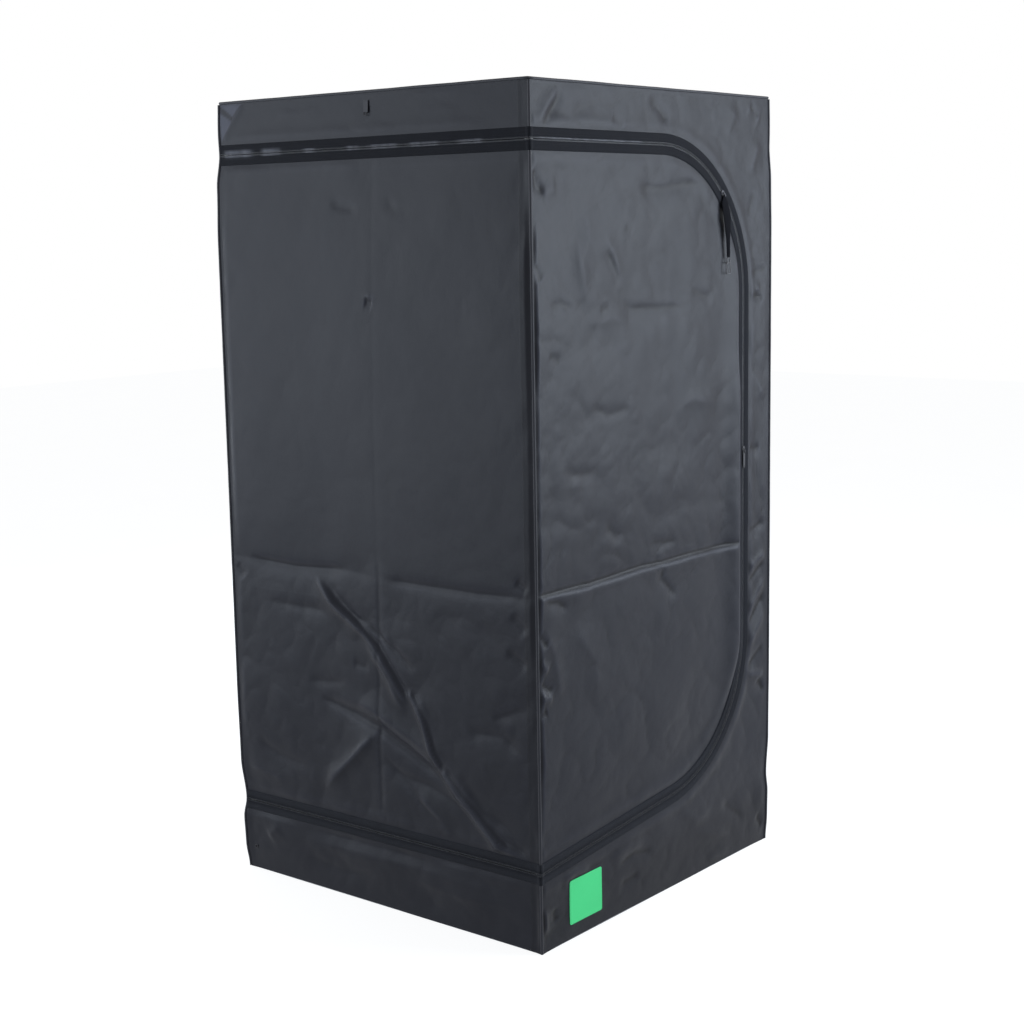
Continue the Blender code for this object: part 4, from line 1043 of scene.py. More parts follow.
def new_material(name, colour, roughness, metallic=0.0, specular=0.5, sheen=0.0):
    """A Principled material with its even values set on the shader's own sockets."""
    material = bpy.data.materials.new(name)
    material.use_nodes = True
    material.diffuse_color = (*colour, 1)
    shader = material.node_tree.nodes["Principled BSDF"]
    values = {"Base Color": (*colour, 1), "Roughness": roughness, "Metallic": metallic,
              "Specular IOR Level": specular, "Sheen Weight": sheen, "Sheen Roughness": 0.4}
    for socket, value in values.items():
        shader.inputs[socket].default_value = value
    return material, material.node_tree, shader


def tinted(tree, factor, low, high):
    """A colour between two, by a factor socket. The colours can be sockets too."""
    mix = node(tree, "ShaderNodeMix", data_type="RGBA")
    sockets = [socket for socket in mix.inputs if socket.type == "RGBA"]
    for socket, colour in zip(sockets, (low, high)):
        feed(tree, (*colour, 1) if isinstance(colour, tuple) else colour, socket)
    tree.links.new(factor, mix.inputs[0])
    return next(socket for socket in mix.outputs if socket.type == "RGBA")


def ranged(tree, factor, low, high):
    """A factor from 0 to 1 moved to low to high."""
    made = node(tree, "ShaderNodeMapRange", Value=factor, To_Min=low, To_Max=high)
    return made.outputs["Result"]


def shade(colour, share):
    """A colour made darker or paler."""
    return tuple(channel * share for channel in colour)


def noise_node(tree, vector, scale, detail=3.0):
    """Soft random patches from 0 to 1."""
    made = node(tree, "ShaderNodeTexNoise", Vector=vector, Scale=scale, Detail=detail,
                Roughness=0.55)
    return made.outputs["Fac"]


def combine(tree, operation, *values):
    """One sum, product or the like of values or sockets."""
    made = node(tree, "ShaderNodeMath", operation=operation)
    for socket, value in zip(made.inputs, values):
        feed(tree, value, socket)
    return made.outputs[0]


def woven(tree, vector, pitch):
    """Height of a plain weave: threads that pass over and under each other."""
    split = node(tree, "ShaderNodeSeparateXYZ", Vector=vector)
    waves = [combine(tree, "SINE", combine(tree, "MULTIPLY", split.outputs[k], pi / pitch))
             for k in (0, 1)]
    over = combine(tree, "MULTIPLY", *waves)
    threads = combine(tree, "ADD", *(combine(tree, "ABSOLUTE", wave) for wave in waves))
    return combine(tree, "ADD", combine(tree, "MULTIPLY", over, 0.5), threads)


def bump(tree, shader, height, distance, strength, **below):
    """Raises the surface by a height, over the normal of another bump where one is given."""
    made = node(tree, "ShaderNodeBump", Distance=distance, Strength=strength, Height=height,
                **below)
    tree.links.new(made.outputs["Normal"], shader.inputs["Normal"])
    return made.outputs["Normal"]


def cloth_vector(tree):
    """Places on the flat cloth, in metres."""
    return node(tree, "ShaderNodeUVMap", uv_map="cloth").outputs["UV"]


def object_vector(tree):
    """Places in space, in metres."""
    return node(tree, "ShaderNodeTexCoord").outputs["Object"]


def rubbed_and_shaded(tree, tint, colour, pale):
    """The tint made paler where the mesh's wear value is above 0, for rubbing and painted
    highlights, and darker below 0, for painted shade.
    """
    wear = node(tree, "ShaderNodeAttribute", attribute_name="wear").outputs["Fac"]
    tint = tinted(tree, wear, tint, pale)
    return tinted(tree, combine(tree, "MULTIPLY", wear, -1.0), tint, shade(colour, 0.35))


def cloudy_material(name, colour, roughness, places, clouds, shares, rough, pale=None, grain=None,
                    **values):
    """A material with soft clouds in its tint and roughness; where a pale colour is given, rubbing
    and painted light and shade from the mesh.

    Returns it with its tree, its shader and its places, for the bumps.
    """
    material, tree, shader = new_material(name, colour, roughness, **values)
    vector = places(tree)
    clouds = noise_node(tree, vector, *clouds)
    factor = clouds
    if grain:
        factor = combine(tree, "ADD", combine(tree, "MULTIPLY", clouds, 0.55),
                         combine(tree, "MULTIPLY", noise_node(tree, vector, *grain), 0.45))
    tint = tinted(tree, factor, *(shade(colour, share) for share in shares))
    if pale:
        tint = rubbed_and_shaded(tree, tint, colour, pale)
    feed(tree, tint, shader.inputs["Base Color"])
    feed(tree, ranged(tree, clouds, *rough), shader.inputs["Roughness"])
    return material, tree, shader, vector


def canvas_material(name, colour, pitch=0.0010, rough=(0.30, 0.40), specular=0.115):
    """Satin woven polyester: thread grain, soft clouding, paler rubbed creases, and painted light
    and shade.
    """
    # The pale colour serves both the rubbed ridges and the painted light on the corner facets
    material, tree, shader, vector = cloudy_material(
        name, colour, 0.4, cloth_vector, (5.0, 4.0), (0.80, 1.20), rough, shade(colour, 3.6),
        (620.0, 2.0), specular=specular)
    soft = bump(tree, shader, noise_node(tree, vector, 38.0, 4.0), 0.0012, 0.35)
    bump(tree, shader, woven(tree, vector, pitch), 0.00009, 0.35, Normal=soft)
    return material


def lining_material():
    """Silver film with a fine crinkle."""
    material, tree, shader, vector = cloudy_material(
        "lining", (0.44, 0.447, 0.462), 0.5, cloth_vector, (9.0, 5.0), (0.88, 1.05), (0.46, 0.60),
        metallic=0.30)
    cells = node(tree, "ShaderNodeTexVoronoi", Vector=vector, Scale=160.0)
    bump(tree, shader, cells.outputs["Distance"], 0.0006, 0.5)
    return material


def fine_material(name, colour, roughness, scale, depth, spread=0.12, rough_spread=0.08,
                  **values):
    """Grained surface for moulded, painted and spun pieces, laid out in object space."""
    material, tree, shader, vector = cloudy_material(
        name, colour, roughness, object_vector, (scale / 12, 4.0), (1 - spread, 1 + spread),
        (roughness - rough_spread, roughness + rough_spread), **values)
    bump(tree, shader, noise_node(tree, vector, scale), depth, 0.6)
    return material


def band_material(name, colour, pitch, specular):
    """Ribbed woven tape, with painted highlights on its lifted edge."""
    material, tree, shader, vector = cloudy_material(
        name, colour, 0.7, cloth_vector, (30.0, 4.0), (0.75, 1.25), (0.62, 0.80),
        (0.17, 0.175, 0.20), specular=specular)
    bump(tree, shader, woven(tree, vector, pitch), 0.00020, 0.7)
    return material


CANVAS_COLOUR = (0.0165, 0.0175, 0.0235)
MATERIAL = {
    "canvas": canvas_material("canvas", CANVAS_COLOUR),
    "roof": canvas_material("roof_canvas", CANVAS_COLOUR, rough=(0.62, 0.74), specular=0.04),
    "binding": canvas_material("binding", shade(CANVAS_COLOUR, 0.85), 0.0008),
    "lining": lining_material(),
    "piping": fine_material("piping", (0.030, 0.031, 0.038), 0.5, 900, 0.0003, specular=0.2),
    "zip_tape": band_material("zip_tape", (0.012, 0.013, 0.017), 0.0007, 0.07),
    # The teeth's pale colour is for the painted highlights on the coil
    "teeth": fine_material("zip_teeth", (0.045, 0.047, 0.055), 0.38, 600, 0.00005, specular=0.3,
                           pale=(0.20, 0.205, 0.235)),
    "thread": fine_material("thread", (0.014, 0.0145, 0.018), 0.6, 2500, 0.0001, specular=0.15),
    "ribbon": band_material("ribbon", (0.008, 0.0082, 0.0105), 0.0012, 0.02),
    "frame_steel": fine_material("frame_steel", (0.82, 0.82, 0.80), 0.34, 700, 0.00008, 0.04, 0.06),
    "connector_plastic": fine_material("connector_plastic", (0.02, 0.02, 0.022), 0.48, 900, 0.0001),
    "slider_metal": fine_material("slider_metal", (0.035, 0.035, 0.038), 0.5, 500, 0.00005,
                                  0.2, 0.08, metallic=0.9),
    "ring_metal": fine_material("ring_metal", (0.075, 0.075, 0.08), 0.42, 500, 0.00005,
                                0.12, 0.08, metallic=0.9),
    "vent_mesh": fine_material("vent_mesh", (0.03, 0.03, 0.032), 0.6, 1500, 0.0001),
    "label_green": canvas_material("label_green", (0.084, 0.70, 0.25), 0.0006, (0.5, 0.65)),
    "label_thread": fine_material("label_thread", (0.075, 0.50, 0.18), 0.5, 2500, 0.0001,
                                  sheen=0.2),
}
NODE_SLOTS = ("frame_steel", "connector_plastic", "slider_metal")


def paint_cad_nodes():
    """Better materials for the CAD pieces that stay."""
    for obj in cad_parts.values():
        for place in obj.material_slots:
            word = place.material.name.split(".")[0] if place.material else ""
            if word in NODE_SLOTS:
                place.material = MATERIAL[word]


# The tent's skin


def add_door():
    """The door's two panels, with finer grids along the corner, the zip and the creases."""
    packing = (CREASE_Z, 0.02)
    door_low = ZIP_BOTTOM - 0.004
    beside_zip = (DOOR_RIGHT - 0.02, 0.02)
    xs = spaced(-CLOTH_EDGE, DOOR_RIGHT + 0.001, CLOTH_STEP, (NEAR_CORNER, beside_zip))
    zs = spaced(door_low, ZIP_TOP, CLOTH_STEP, (packing,))
    bend_at_near_corner(wall_cloth(
        "door_front_cloth", "front", (xs, zs), lambda x, z: -SETBACK - zip_offset(x, z), None,
        ["door_zip_band_front", "door_corner_piping_cloth"], "door_front_panel"))
    ys = spaced(-CLOTH_EDGE, CLOTH_EDGE, CREASED_STEP, (NEAR_CORNER, (-0.008, 0.02)))
    zs = spaced(door_low, ZIP_TOP, CLOTH_STEP, (packing, (0.54, 0.30)))
    bend_at_hinge(wall_cloth(
        "door_side_cloth", "left", (ys, zs),
        lambda y, z: np.minimum(z - side_zip_z(y), ZIP_TOP - z) - SETBACK, None,
        ["corner_piping_rear_left_cloth"], "door_side_panel"))


def add_fixed_walls():
    """The panels that stay: the door's surround, the bands beside it, and the hidden walls."""
    xs = spaced(-CLOTH_EDGE, CLOTH_EDGE, CLOTH_STEP, (NEAR_CORNER, (0.43, 0.03)))
    ys = spaced(-CLOTH_EDGE, CLOTH_EDGE, CLOTH_STEP, (NEAR_CORNER, (0.45, 0.03)))
    lines = spaced(-CLOTH_EDGE, CLOTH_EDGE, HIDDEN_STEP)
    zs = spaced(0.0, CLOTH_TOP, HIDDEN_STEP)
    outside = lambda x, z: zip_offset(x, z) - SETBACK
    hole = lambda port, s, z: past_port(port, s, z) - 0.0012
    corner, top = "corner_piping_front_right_cloth", "top_edge_cloth"
    arc_top = 1.490
    panels = (
        ("front_top_cloth", "front", xs, spaced(arc_top, CLOTH_TOP, CLOTH_STEP), outside, corner,
         "front_surround"),
        ("front_strip_cloth", "front", xs[xs > DOOR_RIGHT - 0.01],
         spaced(CREASE_Z, arc_top, CLOTH_STEP), outside, corner, "front_surround"),
        ("front_skirt_cloth", "front", xs, spaced(0.0, CREASE_Z, CLOTH_STEP), outside, corner,
         "front_surround"),
        ("side_top_cloth", "left", ys, spaced(ZIP_TOP, CLOTH_TOP, BAND_STEP),
         lambda y, z: z - ZIP_TOP - SETBACK, top, "side_top_band"),
        ("side_skirt_cloth", "left", ys, spaced(0.0, ZIP_BOTTOM, BAND_STEP),
         lambda y, z: side_zip_z(y) - z - SETBACK, "corner_piping_rear_left_cloth", "side_skirt"),
        ("rear_cloth", "rear", lines, zs,
         lambda s, z: np.minimum(hole(REAR_DUCT, s, z), past_vent(s, z)), top, "rear_panel"),
        ("right_cloth", "right", lines, zs,
         lambda s, z: np.minimum(hole(RIGHT_DUCT, s, z), hole(CABLE, s, z)), top, "right_panel"),
    )
    for name, wall, across, up, inside, rests_on, node_name in panels:
        wall_cloth(name, wall, (across, up), inside, "root", [rests_on], node_name)
    add_cloth("roof_cloth", cut_grid(lines, lines), on_roof, ("roof", "lining"), "stretched",
              [top], "root", "canvas", "roof_panel")


def add_floor_cloth():
    """The silver floor cloth, with its corners cut off beside the posts."""
    reach = SIDE - SKIN
    lines = spaced(-reach, reach, LOOSE_STEP)
    inside = lambda x, y: 2 * reach - 0.008 - np.abs(x) - np.abs(y)
    place = lambda x, y, height: np.stack((x, y, height + CANVAS / 2 + 0 * x), axis=-1)
    add_cloth("floor_cloth", cut_grid(lines, lines, inside), place, ("lining", "lining"), "laid",
              ["corner_piping_rear_right_cloth"], "root", "lining", "floor_panel")


def add_tray():
    """The loose spill tray, folded up from one sheet without its corners."""
    inner = TRAY - CANVAS / 2
    side = np.array((0.01, 0.03, TRAY_HEIGHT)) + inner
    lines = np.concatenate((-side[::-1], spaced(-inner, inner, LOOSE_STEP), side))
    points, faces = cut_grid(lines, lines)
    faces = [face for face in faces if np.abs(points[face].mean(axis=0)).min() < inner]
    used = sorted({k for face in faces for k in face})
    renamed = {old: new for new, old in enumerate(used)}
    points, faces = points[used], [[renamed[k] for k in face] for face in faces]

    def fold(x, y, height):
        up = np.maximum(np.maximum(np.abs(x), np.abs(y)) - inner, 0)
        on_base = up < 1e-6
        flat = (np.abs(x) < inner - 1e-6) & (np.abs(y) < inner - 1e-6)
        sway = 0.0012 * noise(x, y, 0.12, 9) * up / TRAY_HEIGHT
        z = 0.0018 + 0.0006 * (0.5 + 0.5 * noise(x, y, 0.15, 13)) * flat + up + on_base * height
        turned = []
        for a in (x, y):
            push = np.sign(a) * (np.abs(a) > inner - 1e-6) * height
            turned.append(np.clip(a, -inner, inner) - push - sway * (np.abs(a) > inner))
        return np.stack((*turned, z), axis=-1)

    add_cloth("tray_cloth", (points, faces), fold, ("lining", "lining"), "laid", ["floor_cloth"],
              "root", "lining", "floor_tray")


# Piping and binding


def piping_line(x_side, y_side, low, high):
    """Places of a standing corner's piping."""
    z = np.append(np.arange(low, high + 0.0001, PIPING_STEP)[:-1], high)
    sway = 0.0005 * noise(z, z * 0 + x_side + 3 * y_side, 0.07, 15)
    return lean(x_side * SIDE + sway, y_side * SIDE + sway, z)


def add_corner_piping(node_name, x_side, y_side, low, high, body, seed):
    """A standing corner's round piping, a little uneven along its length."""
    line = piping_line(x_side, y_side, low, high)
    radii = PIPING * (1 + 0.07 * wave(np.arange(len(line)) * PIPING_STEP, 0.025, seed))
    piping = tube_along(f"{node_name}_cloth", line, radii, PIPING_SIDES, MATERIAL["piping"])
    finish_piece(piping, body, "piping", node_name)


def add_binding(name, low, high, body):
    """The flat binding on the left wall beside the near corner, and its row of stitches."""
    seam = -SIDE + 0.0288
    ys = np.linspace(-SIDE + 0.0022, -SIDE + BINDING_WIDTH, 9)
    points, faces = cut_grid(ys, spaced(low, high, 0.006))
    edge = lambda y, z, height: on_wall(
        "left", y, z, height + SKIN + 0.0003 + 0.0004 * hump(y + SIDE - 0.028, 0.004))
    band = thin_solid(f"{name}_binding", points, faces, edge, [MATERIAL["binding"]] * 2,
                      thick=0.0006, flip=True)
    finish_piece(band, body, "piping")
    add_seam_round(f"{name}_stitches", [(seam, low + 0.001), (seam, high)], SKIN + 0.0009,
                   partial(on_wall, "left"), body, "piping")


def add_top_piping():
    """The closed ring of piping round the roof."""
    corners = box_corners(0, 0, SIDE, SIDE, (0, 1, 2, 3, 0))
    flat = np.array([(x0 + (x1 - x0) * t, y0 + (y1 - y0) * t)
                     for (x0, y0), (x1, y1) in zip(corners, corners[1:])
                     for t in np.linspace(0.004, 0.996, 70)])
    along = np.arange(len(flat)) * 0.014
    line = np.column_stack((flat, TOP - 0.0002 + 0.0006 * wave(along, 0.10, 23)))
    radii = PIPING * (0.98 + 0.06 * wave(along, 0.03, 25))
    ring = tube_along("top_edge_cloth", line, radii, PIPING_SIDES, MATERIAL["piping"], closed=True)
    finish_piece(ring, "root", "piping", "top_edge_piping")


def add_pipings():
    """Round pipings on every edge, and the flat binding beside the near corner."""
    low, gap = 0.001, 0.0006
    corners = (("front_right", 1, -1), ("rear_left", -1, 1), ("rear_right", 1, 1))
    for word, x_side, y_side in corners:
        add_corner_piping(f"corner_piping_{word}", x_side, y_side, low, EDGE_TOP, "root", 17)
    spans = (
        ("near_corner_piping_top", ZIP_TOP + gap, EDGE_TOP, "root"),
        ("door_corner_piping", ZIP_BOTTOM + gap, ZIP_TOP - gap, "door_side"),
        ("near_corner_piping_bottom", low, ZIP_BOTTOM - gap, "root"),
    )
    for name, foot, top, body in spans:
        add_corner_piping(name, -1, -1, foot, top, body, 19)
        add_binding(name, foot, top, body)
    add_top_piping()


# Ports and vent


def sleeve_places(wall, port, angles):
    """Rings of places from the flange's edge to the sleeve's end, outer skin then inner skin."""
    middle, height, radius = port
    inner = radius - 0.0013
    profile = [(radius + FLANGE, 0.0013), (radius + 0.012, 0.0014), (radius + 0.003, 0.0015),
               (inner + 0.0007, 0.0008)]
    profile += [(inner, -depth) for depth in (0.003, 0.012, 0.024, 0.036, 0.048, SLEEVE_LENGTH)]
    pleat_width = 0.018
    folds = int(radius * 2 * pi / pleat_width)
    rings = []
    for skin in (0.0005, -0.0005):
        for out_radius, lift in profile:
            deep = eased(0.003, 0.050, -lift)
            pleat = -0.004 * deep * (0.5 + 0.5 * np.cos(angles * folds + 2 * np.sin(angles * 3)))
            on_flange = lift > 0.0009
            ring = out_radius + pleat + (0 if on_flange else skin)
            rings.append(on_wall(wall, middle + ring * np.cos(angles),
                                 height + ring * np.sin(angles), lift + skin * on_flange))
    return rings


def add_sleeve(name, wall, port, node_name):
    """A gathered sleeve with a sewn flange round its port."""
    radius = port[2]
    sides = max(48, int(radius * 2 * pi / 0.005))
    angles = ring_angles(sides)
    rings = sleeve_places(wall, port, angles)
    rows = len(rings) // 2
    faces = []
    for row in range(rows - 1):
        faces += ring_faces(row, row + 1, sides, flip=True)
        faces += ring_faces(rows + row, rows + row + 1, sides)
    faces += ring_faces(0, rows, sides) + ring_faces(rows - 1, 2 * rows - 1, sides, flip=True)
    if wall != "right":
        faces = [face[::-1] for face in faces]
    places = np.concatenate(rings)
    uvs = np.array([(angles[k % sides] * radius, (k // sides) * 0.008) for k in range(len(places))])
    wear = np.zeros(len(places))
    obj = make_object(name, places, faces, [MATERIAL["canvas"]], uvs=uvs, wear=wear)
    finish_piece(obj, "root", "canvas", node_name)
    rows = []
    for k, extra in enumerate((0.005, 0.019)):
        path = Path(round_points(port[0], port[1], radius + extra, 97))
        rows.append(add_stitches(f"{name}_row_{k}", path, 0, path.length, 0, 0.0019,
                                 partial(on_wall, wall)))
    finish_piece(join(f"{name}_stitches", rows), "root", "piping")


def hem_wear(points, x, low, high):
    """A painted shade line where a flap's hem ends, and a slightly rubbed hem."""
    s, z = points.T
    inner = np.minimum(x - np.abs(s), np.minimum(z - low, high - z))
    return 0.10 * (1 - eased(0.012, 0.016, inner)) - 0.6 * hump(inner - 0.017, 0.004)


def thread_boxes(threads, front):
    """Places and faces of flat threads from a to b, at depths behind the front."""
    places, faces = [], []
    for k, (a, b, depth) in enumerate(threads):
        a, b = np.array(a), np.array(b)
        along = (b - a) / np.linalg.norm(b - a)
        side = np.array((-along[1], along[0])) * VENT_THREAD / 2
        for end in (a, b):
            for across, back in ((-1, 0.0001), (1, 0.0001), (1, 0.0004), (-1, 0.0004)):
                flat = end + side * across
                places.append((flat[0], front - back - depth, flat[1]))
        faces += ring_faces(2 * k, 2 * k + 1, 4)
        faces += [[8 * k + n for n in cap] for cap in ((3, 2, 1, 0), (4, 5, 6, 7))]
    return places, faces


def add_vent_threads(x, low, high):
    """A window of crossed threads behind the rear opening."""
    first, pitch = 0.001, 0.002
    threads = [((s, low), (s, high), 0.0) for s in np.arange(-x + first, x, pitch)]
    threads += [((-x, z), (x, z), 0.0004) for z in np.arange(low + first, high, pitch)]
    places, faces = thread_boxes(threads, SIDE - SKIN)
    mesh = make_object("vent_threads", places, faces, [MATERIAL["vent_mesh"]])
    finish_piece(mesh, "root", "vent_mesh", "vent_mesh")


def add_vent_flap(x, low, high):
    """The flap that hangs over the vent outside, sewn along its top edge."""
    outside = SIDE + SKIN + CANVAS / 2

    def hang(s, z, height):
        down = high - z
        curl = 0.0008 * eased(0.004, 0.03, down)
        curl = curl + 0.0034 * eased(0.006, 0.06, down) * (0.35 + 0.65 * noise(s, z, 0.12, 27) ** 2)
        curl = curl + 0.0035 * eased(0.16, 0.235, down) * np.abs(s / x) ** 3
        return np.stack((s, outside + height + curl, z), axis=-1)

    step = inset = 0.008
    grid = cut_grid(spaced(-x, x, step), spaced(low, high, step))
    add_cloth("vent_flap_cloth", grid, hang, ("canvas", "lining"), "hung", ["rear_cloth"], "flap",
              "canvas", "vent_flap", flip=True, wear=hem_wear(grid[0], x, low, high))
    reach = x - inset, (high - low) / 2 - inset
    corners = box_corners(0, (low + high) / 2, *reach, (3, 0, 1, 2, 3))
    add_seam_round("vent_flap_stitches", corners, 0.0005, hang, "flap", "piping")


def add_vent():
    """The rear vent: threads inside and a flap outside."""
    size = (VENT[0] + VENT_SEAM, VENT[1] - VENT_SEAM, VENT[2] + VENT_SEAM)
    add_vent_threads(*size)
    add_vent_flap(*size)


# Small sewn pieces and pulls


def add_label():
    """A plain woven patch with a stitched border."""
    x, z, width, height = LABEL
    corner, inset = 0.004, 0.0035
    xs = np.linspace(x - width / 2, x + width / 2, 33)
    zs = np.linspace(z - height / 2, z + height / 2, 29)
    inside = lambda a, b: 0.0001 + (width + height) / 2 - corner - np.abs(a - x) - np.abs(b - z)
    grid = cut_grid(xs, zs, inside)

    def place(a, b, lift):
        past = np.minimum(width / 2 - np.abs(a - x), height / 2 - np.abs(b - z))
        puffed = 0.0005 * hump(past - inset, 0.003)
        return on_wall("front", a, b, lift + SKIN + 0.0005 + puffed)

    add_cloth("label_patch_cloth", grid, place, ("label_green", "label_green"), "stretched",
              ["front_skirt_cloth"], "root", "label_green", "label_patch", thick=0.0007,
              wear=np.zeros(len(grid[0])))
    corners = box_corners(x, z, width / 2 - inset, height / 2 - inset, (0, 1, 2, 3, 0))
    add_seam_round("label_stitches", corners, SKIN + 0.0012, partial(on_wall, "front"), "root",
                   "label_green", material=MATERIAL["label_thread"], pitch=0.003)


def add_tie_loop():
    """A folded webbing loop at the top of the left wall that holds a small ring."""
    y, top, width, height = TIE
    on_left = partial(on_wall, "left")
    # Share of the loop's height and mm off the wall, from its fixed top over its fold
    outline = ((0.0, 0.9), (-0.35, 1.0), (-0.75, 1.6), (-0.95, 2.7), (-0.90, 3.6), (-0.6, 3.2),
               (-0.3, 2.4), (0.0, 2.0))
    middle = [(top + share * height, SKIN + out * MM) for share, out in outline]
    skins = {0.0004: [], -0.0004: []}
    for skin, row in skins.items():
        for k, (z, out) in enumerate(middle):
            before, after = middle[max(k - 1, 0)], middle[min(k + 1, len(middle) - 1)]
            dz, dout = after[0] - before[0], after[1] - before[1]
            size = hypot(dz, dout)
            row.append((z - dout / size * skin, out + dz / size * skin))
    outer, inner = skins.values()
    ring = outer + inner[::-1]
    ys = np.linspace(y - width / 2, y + width / 2, 6)
    places = [on_left(ys, z, out) for z, out in ring]
    uvs = [np.column_stack((ys, np.full(ys.shape, k * 0.004))) for k in range(len(ring))]
    loop = swept("tie_loop_webbing", places, [MATERIAL["piping"]], uvs)
    finish_piece(loop, "root", "ribbon", "door_tie_loop")

    radius, off_wall, angles = 0.0052, 0.0046, ring_angles(32)
    line = on_left(y + radius * np.cos(angles), top - 0.98 * height, 0.0)
    line[:, 2] += radius * np.sin(angles)
    line[:, 0] -= off_wall - 0.0018 * np.sin(angles)
    add_ring("tie_ring", line, 0.0009, 10, "slider_metal", "root")
    corners = box_corners(y, top - 0.0055, 0.005, 0.0035, (3, 2, 1, 0, 3))
    add_seam_round("tie_loop_stitches", corners, SKIN + 0.0024, on_left, "root", "ribbon",
                   pitch=0.0024)


def add_eyelet():
    """A small pressed eyelet low on the left wall."""
    y, z = EYELET
    radius, angles = 0.0045, ring_angles(24)
    line = on_wall("left", y + radius * np.cos(angles), z + radius * np.sin(angles), SKIN + 0.0004)
    add_ring("eyelet_rim", line, 0.0011, 8, "slider_metal", "root")


def pull_place(across, down, height):
    """Places on the upper pull: across it, down it and off the panel."""
    x = SLIDER_UPPER[0] + across * cos(PULL_LEAN) + down * sin(PULL_LEAN)
    z = SLIDER_UPPER[1] + across * sin(PULL_LEAN) - down * cos(PULL_LEAN)
    lifted = height + PULL_LIFT * eased(0.012, 0.060, down)
    return np.stack((x, -SIDE - lifted, z), axis=-1)


def add_pull_ribbon():
    """The pull's tapered webbing, broad below its eye and narrow at its foot."""
    down = np.array((0.0035, 0.006, 0.010, 0.014, 0.020, 0.035, 0.055, 0.075, 0.095, 0.115, 0.135,
                     0.150, 0.1585))
    half = np.interp(down, (0.0035, 0.010, 0.020, 0.045, 0.060, 0.115, 0.1585),
                     (0.0036, 0.0060, 0.0125, 0.0150, 0.0138, 0.0062, 0.0048))
    middle = PULL_HEIGHT + 0.0010 * np.sin(down / 0.16 * pi) + 0.0005
    thick = np.interp(down, (0.0035, 0.014, 0.15, 0.1585), (0.0010, 0.0022, 0.0022, 0.0014)) / 2
    runs, uvs = [], []
    for side, layer in ((-1, -0.6), (-0.8, -1), (0, -1.15), (0.8, -1), (1, -0.6), (1, 0.6),
                        (0.8, 1), (0, 1.25), (-0.8, 1), (-1, 0.6)):
        curl = 0.0012 * np.sin(down / 0.08) * side
        runs.append(pull_place(side * half, down, middle + (layer * thick + curl)))
        uvs.append(np.column_stack((side * half, down)))
    ribbon = swept("upper_pull_ribbon", runs, [MATERIAL["ribbon"]], uvs)
    finish_piece(ribbon, "pull_upper", "ribbon", "zip_pull_upper")


def add_upper_pull():
    """The upper slider's pull: an eye, a ribbon, a ring and a square ring at its foot."""
    add_pull_ribbon()
    eye = ((-0.0042, 0.0012), (-0.0042, 0.0065), (-0.0035, 0.0080), (0.0035, 0.0080),
           (0.0042, 0.0065), (0.0042, 0.0012), (0.0032, -0.0002), (-0.0032, -0.0002))
    radius, centre, angles = 0.0068, 0.1655, ring_angles(32)
    ring = np.column_stack((radius * np.cos(angles), centre + radius * np.sin(angles)))
    top, foot, wide, turn = 0.1705, 0.1985, 0.0092, 0.003
    square = []
    for x, down, start in ((wide - turn, top + turn, -pi / 2), (wide - turn, foot - turn, 0),
                           (turn - wide, foot - turn, pi / 2), (turn - wide, top + turn, pi)):
        for angle in np.linspace(start, start + pi / 2, 6):
            square.append((x + turn * cos(angle), down + turn * sin(angle)))
    parts = (("eye", eye, 0.0, 0.0006, 8, "slider_metal"),
             ("ring", ring, 0.0006, 0.0011, 10, "ring_metal"),
             ("square", square, -0.0006, 0.0011, 10, "ring_metal"))
    for word, outline, height, thick, sides, material in parts:
        across, down = np.array(outline).T
        line = pull_place(across, down, PULL_HEIGHT + height)
        add_ring(f"upper_pull_{word}", line, thick, sides, material, "pull_upper")


# Camera, lights and floor


def add_camera():
    """The photograph's viewpoint, fitted to the tent's corners."""
    yaw, pitch, roll = CAMERA_TURN
    forward = Vector((cos(pitch) * sin(yaw), cos(pitch) * cos(yaw), sin(pitch)))
    level = Vector((cos(yaw), -sin(yaw), 0))
    upright = level.cross(forward)
    across = cos(roll) * level + sin(roll) * upright
    above = -sin(roll) * level + cos(roll) * upright
    data = bpy.data.cameras.new("camera")
    data.lens, data.sensor_width, data.clip_end = CAMERA_LENS, 36.0, 100
    camera = bpy.data.objects.new("camera", data)
    turn = Matrix((across, above, -forward)).transposed().to_4x4()
    camera.matrix_world = Matrix.Translation(CAMERA_PLACE) @ turn
    bpy.context.scene.collection.objects.link(camera)
    bpy.context.scene.camera = camera


def add_lights():
    """Large cool soft boxes round the tent."""
    for name, place, aim, size, power in LIGHTS:
        data = bpy.data.lights.new(name, "AREA")
        data.shape = "RECTANGLE"
        data.size, data.size_y = size
        data.energy = power
        data.color = (0.80, 0.89, 1.0)
        light = bpy.data.objects.new(name, data)
        light.location = place
        light.visible_camera = False
        light.rotation_euler = (Vector(aim) - Vector(place)).to_track_quat("-Z", "Y").to_euler()
        bpy.context.scene.collection.objects.link(light)


def seen(tree):
    """1 for rays from the camera, in mirrors and through glass."""
    path = node(tree, "ShaderNodeLightPath")
    rays = combine(tree, "ADD", path.outputs["Is Camera Ray"], path.outputs["Is Transmission Ray"])
    rays = combine(tree, "ADD", rays, path.outputs["Is Glossy Ray"])
    return combine(tree, "MINIMUM", rays, 1.0)


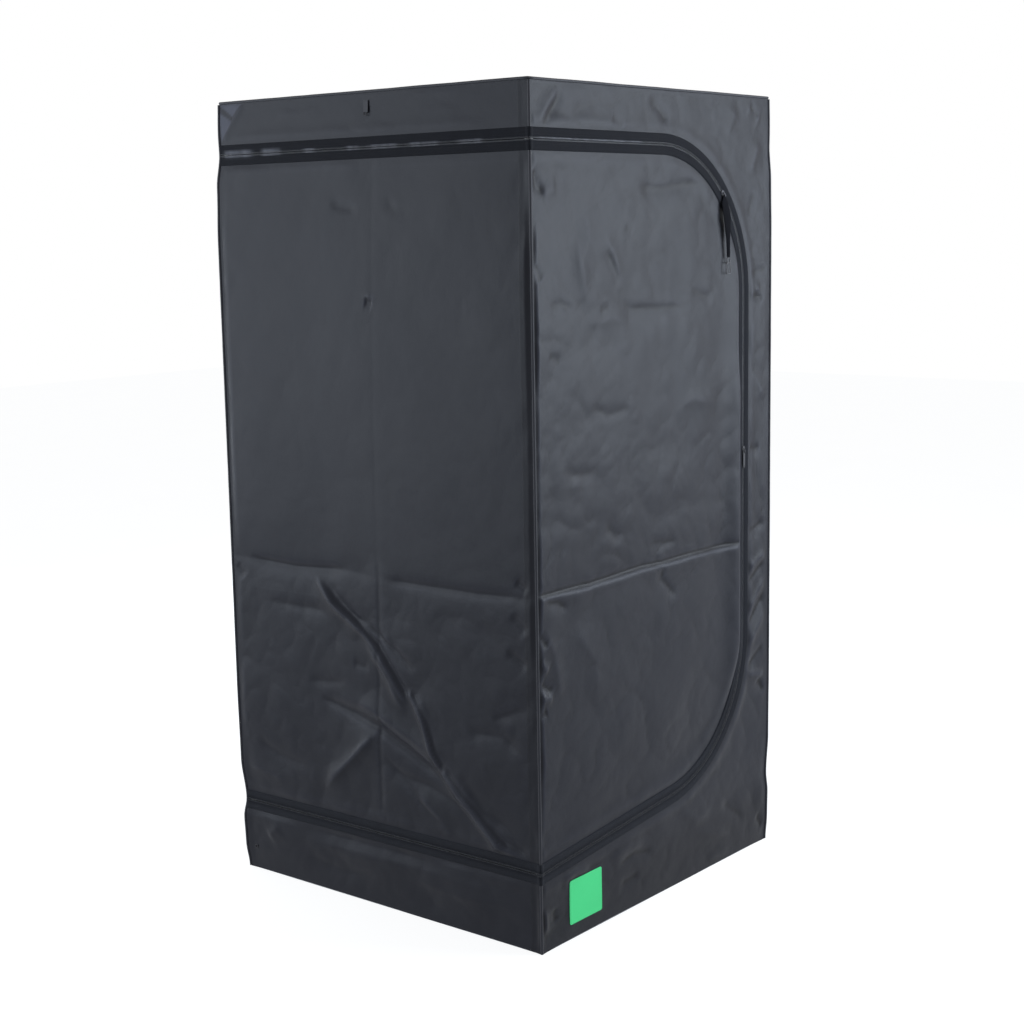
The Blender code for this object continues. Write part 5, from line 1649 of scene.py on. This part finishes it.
def joined_shader(tree, kind, first, second, **values):
    """Two shaders mixed or added."""
    made = node(tree, kind, **values)
    for shader, socket in zip((first, second), [i for i in made.inputs if i.type == "SHADER"]):
        tree.links.new(shader.outputs[0], socket)
    return made


def add_world():
    """A pale studio that is plain white where it is seen."""
    world = bpy.data.worlds.new("studio")
    bpy.context.scene.world = world
    world.use_nodes = True
    tree = world.node_tree
    back = tree.nodes["Background"]
    back.inputs["Color"].default_value = (0.92, 0.96, 1.0, 1)
    back.inputs["Strength"].default_value = 0.50
    white = node(tree, "ShaderNodeBackground", Color=(1, 1, 1, 1), Strength=1.0)
    mix = joined_shader(tree, "ShaderNodeMixShader", back, white, Fac=seen(tree))
    tree.links.new(mix.outputs[0], tree.nodes["World Output"].inputs["Surface"])


def add_floor():
    """A pale floor that reads white and keeps the tent's soft shadow."""
    reach, below = 14, 0.0005
    lines = np.linspace(-reach, reach, 8)
    points, faces = cut_grid(lines, lines)
    places = np.column_stack((points, np.full(len(points), -below)))
    material, tree, shader = new_material("studio_floor", (0.30, 0.30, 0.30), 0.9, specular=0.0)
    mottle = noise_node(tree, object_vector(tree), 2.0)
    tint = tinted(tree, mottle, (0.29, 0.29, 0.29), (0.31, 0.31, 0.31))
    tree.links.new(tint, shader.inputs["Base Color"])
    glow = node(tree, "ShaderNodeEmission", Color=(1, 1, 1, 1), Strength=0.84)
    none = node(tree, "ShaderNodeEmission", Strength=0.0)
    mix = joined_shader(tree, "ShaderNodeMixShader", none, glow, Fac=seen(tree))
    total = joined_shader(tree, "ShaderNodeAddShader", shader, mix)
    tree.links.new(total.outputs[0], tree.nodes["Material Output"].inputs["Surface"])
    make_object("studio_floor", places, faces, [material])


paint_cad_nodes()
add_pipings()
add_zip()
add_door()
add_fixed_walls()
add_floor_cloth()
add_tray()
add_sleeve("rear_duct_cloth", "rear", REAR_DUCT, "duct_sleeve_rear")
add_sleeve("right_duct_cloth", "right", RIGHT_DUCT, "duct_sleeve_right")
add_sleeve("cable_cloth", "right", CABLE, "cable_sleeve")
add_vent()
add_label()
add_tie_loop()
add_eyelet()
add_upper_pull()
add_camera()
add_lights()
add_world()
add_floor()
bpy.context.scene.view_settings.view_transform = "Standard"
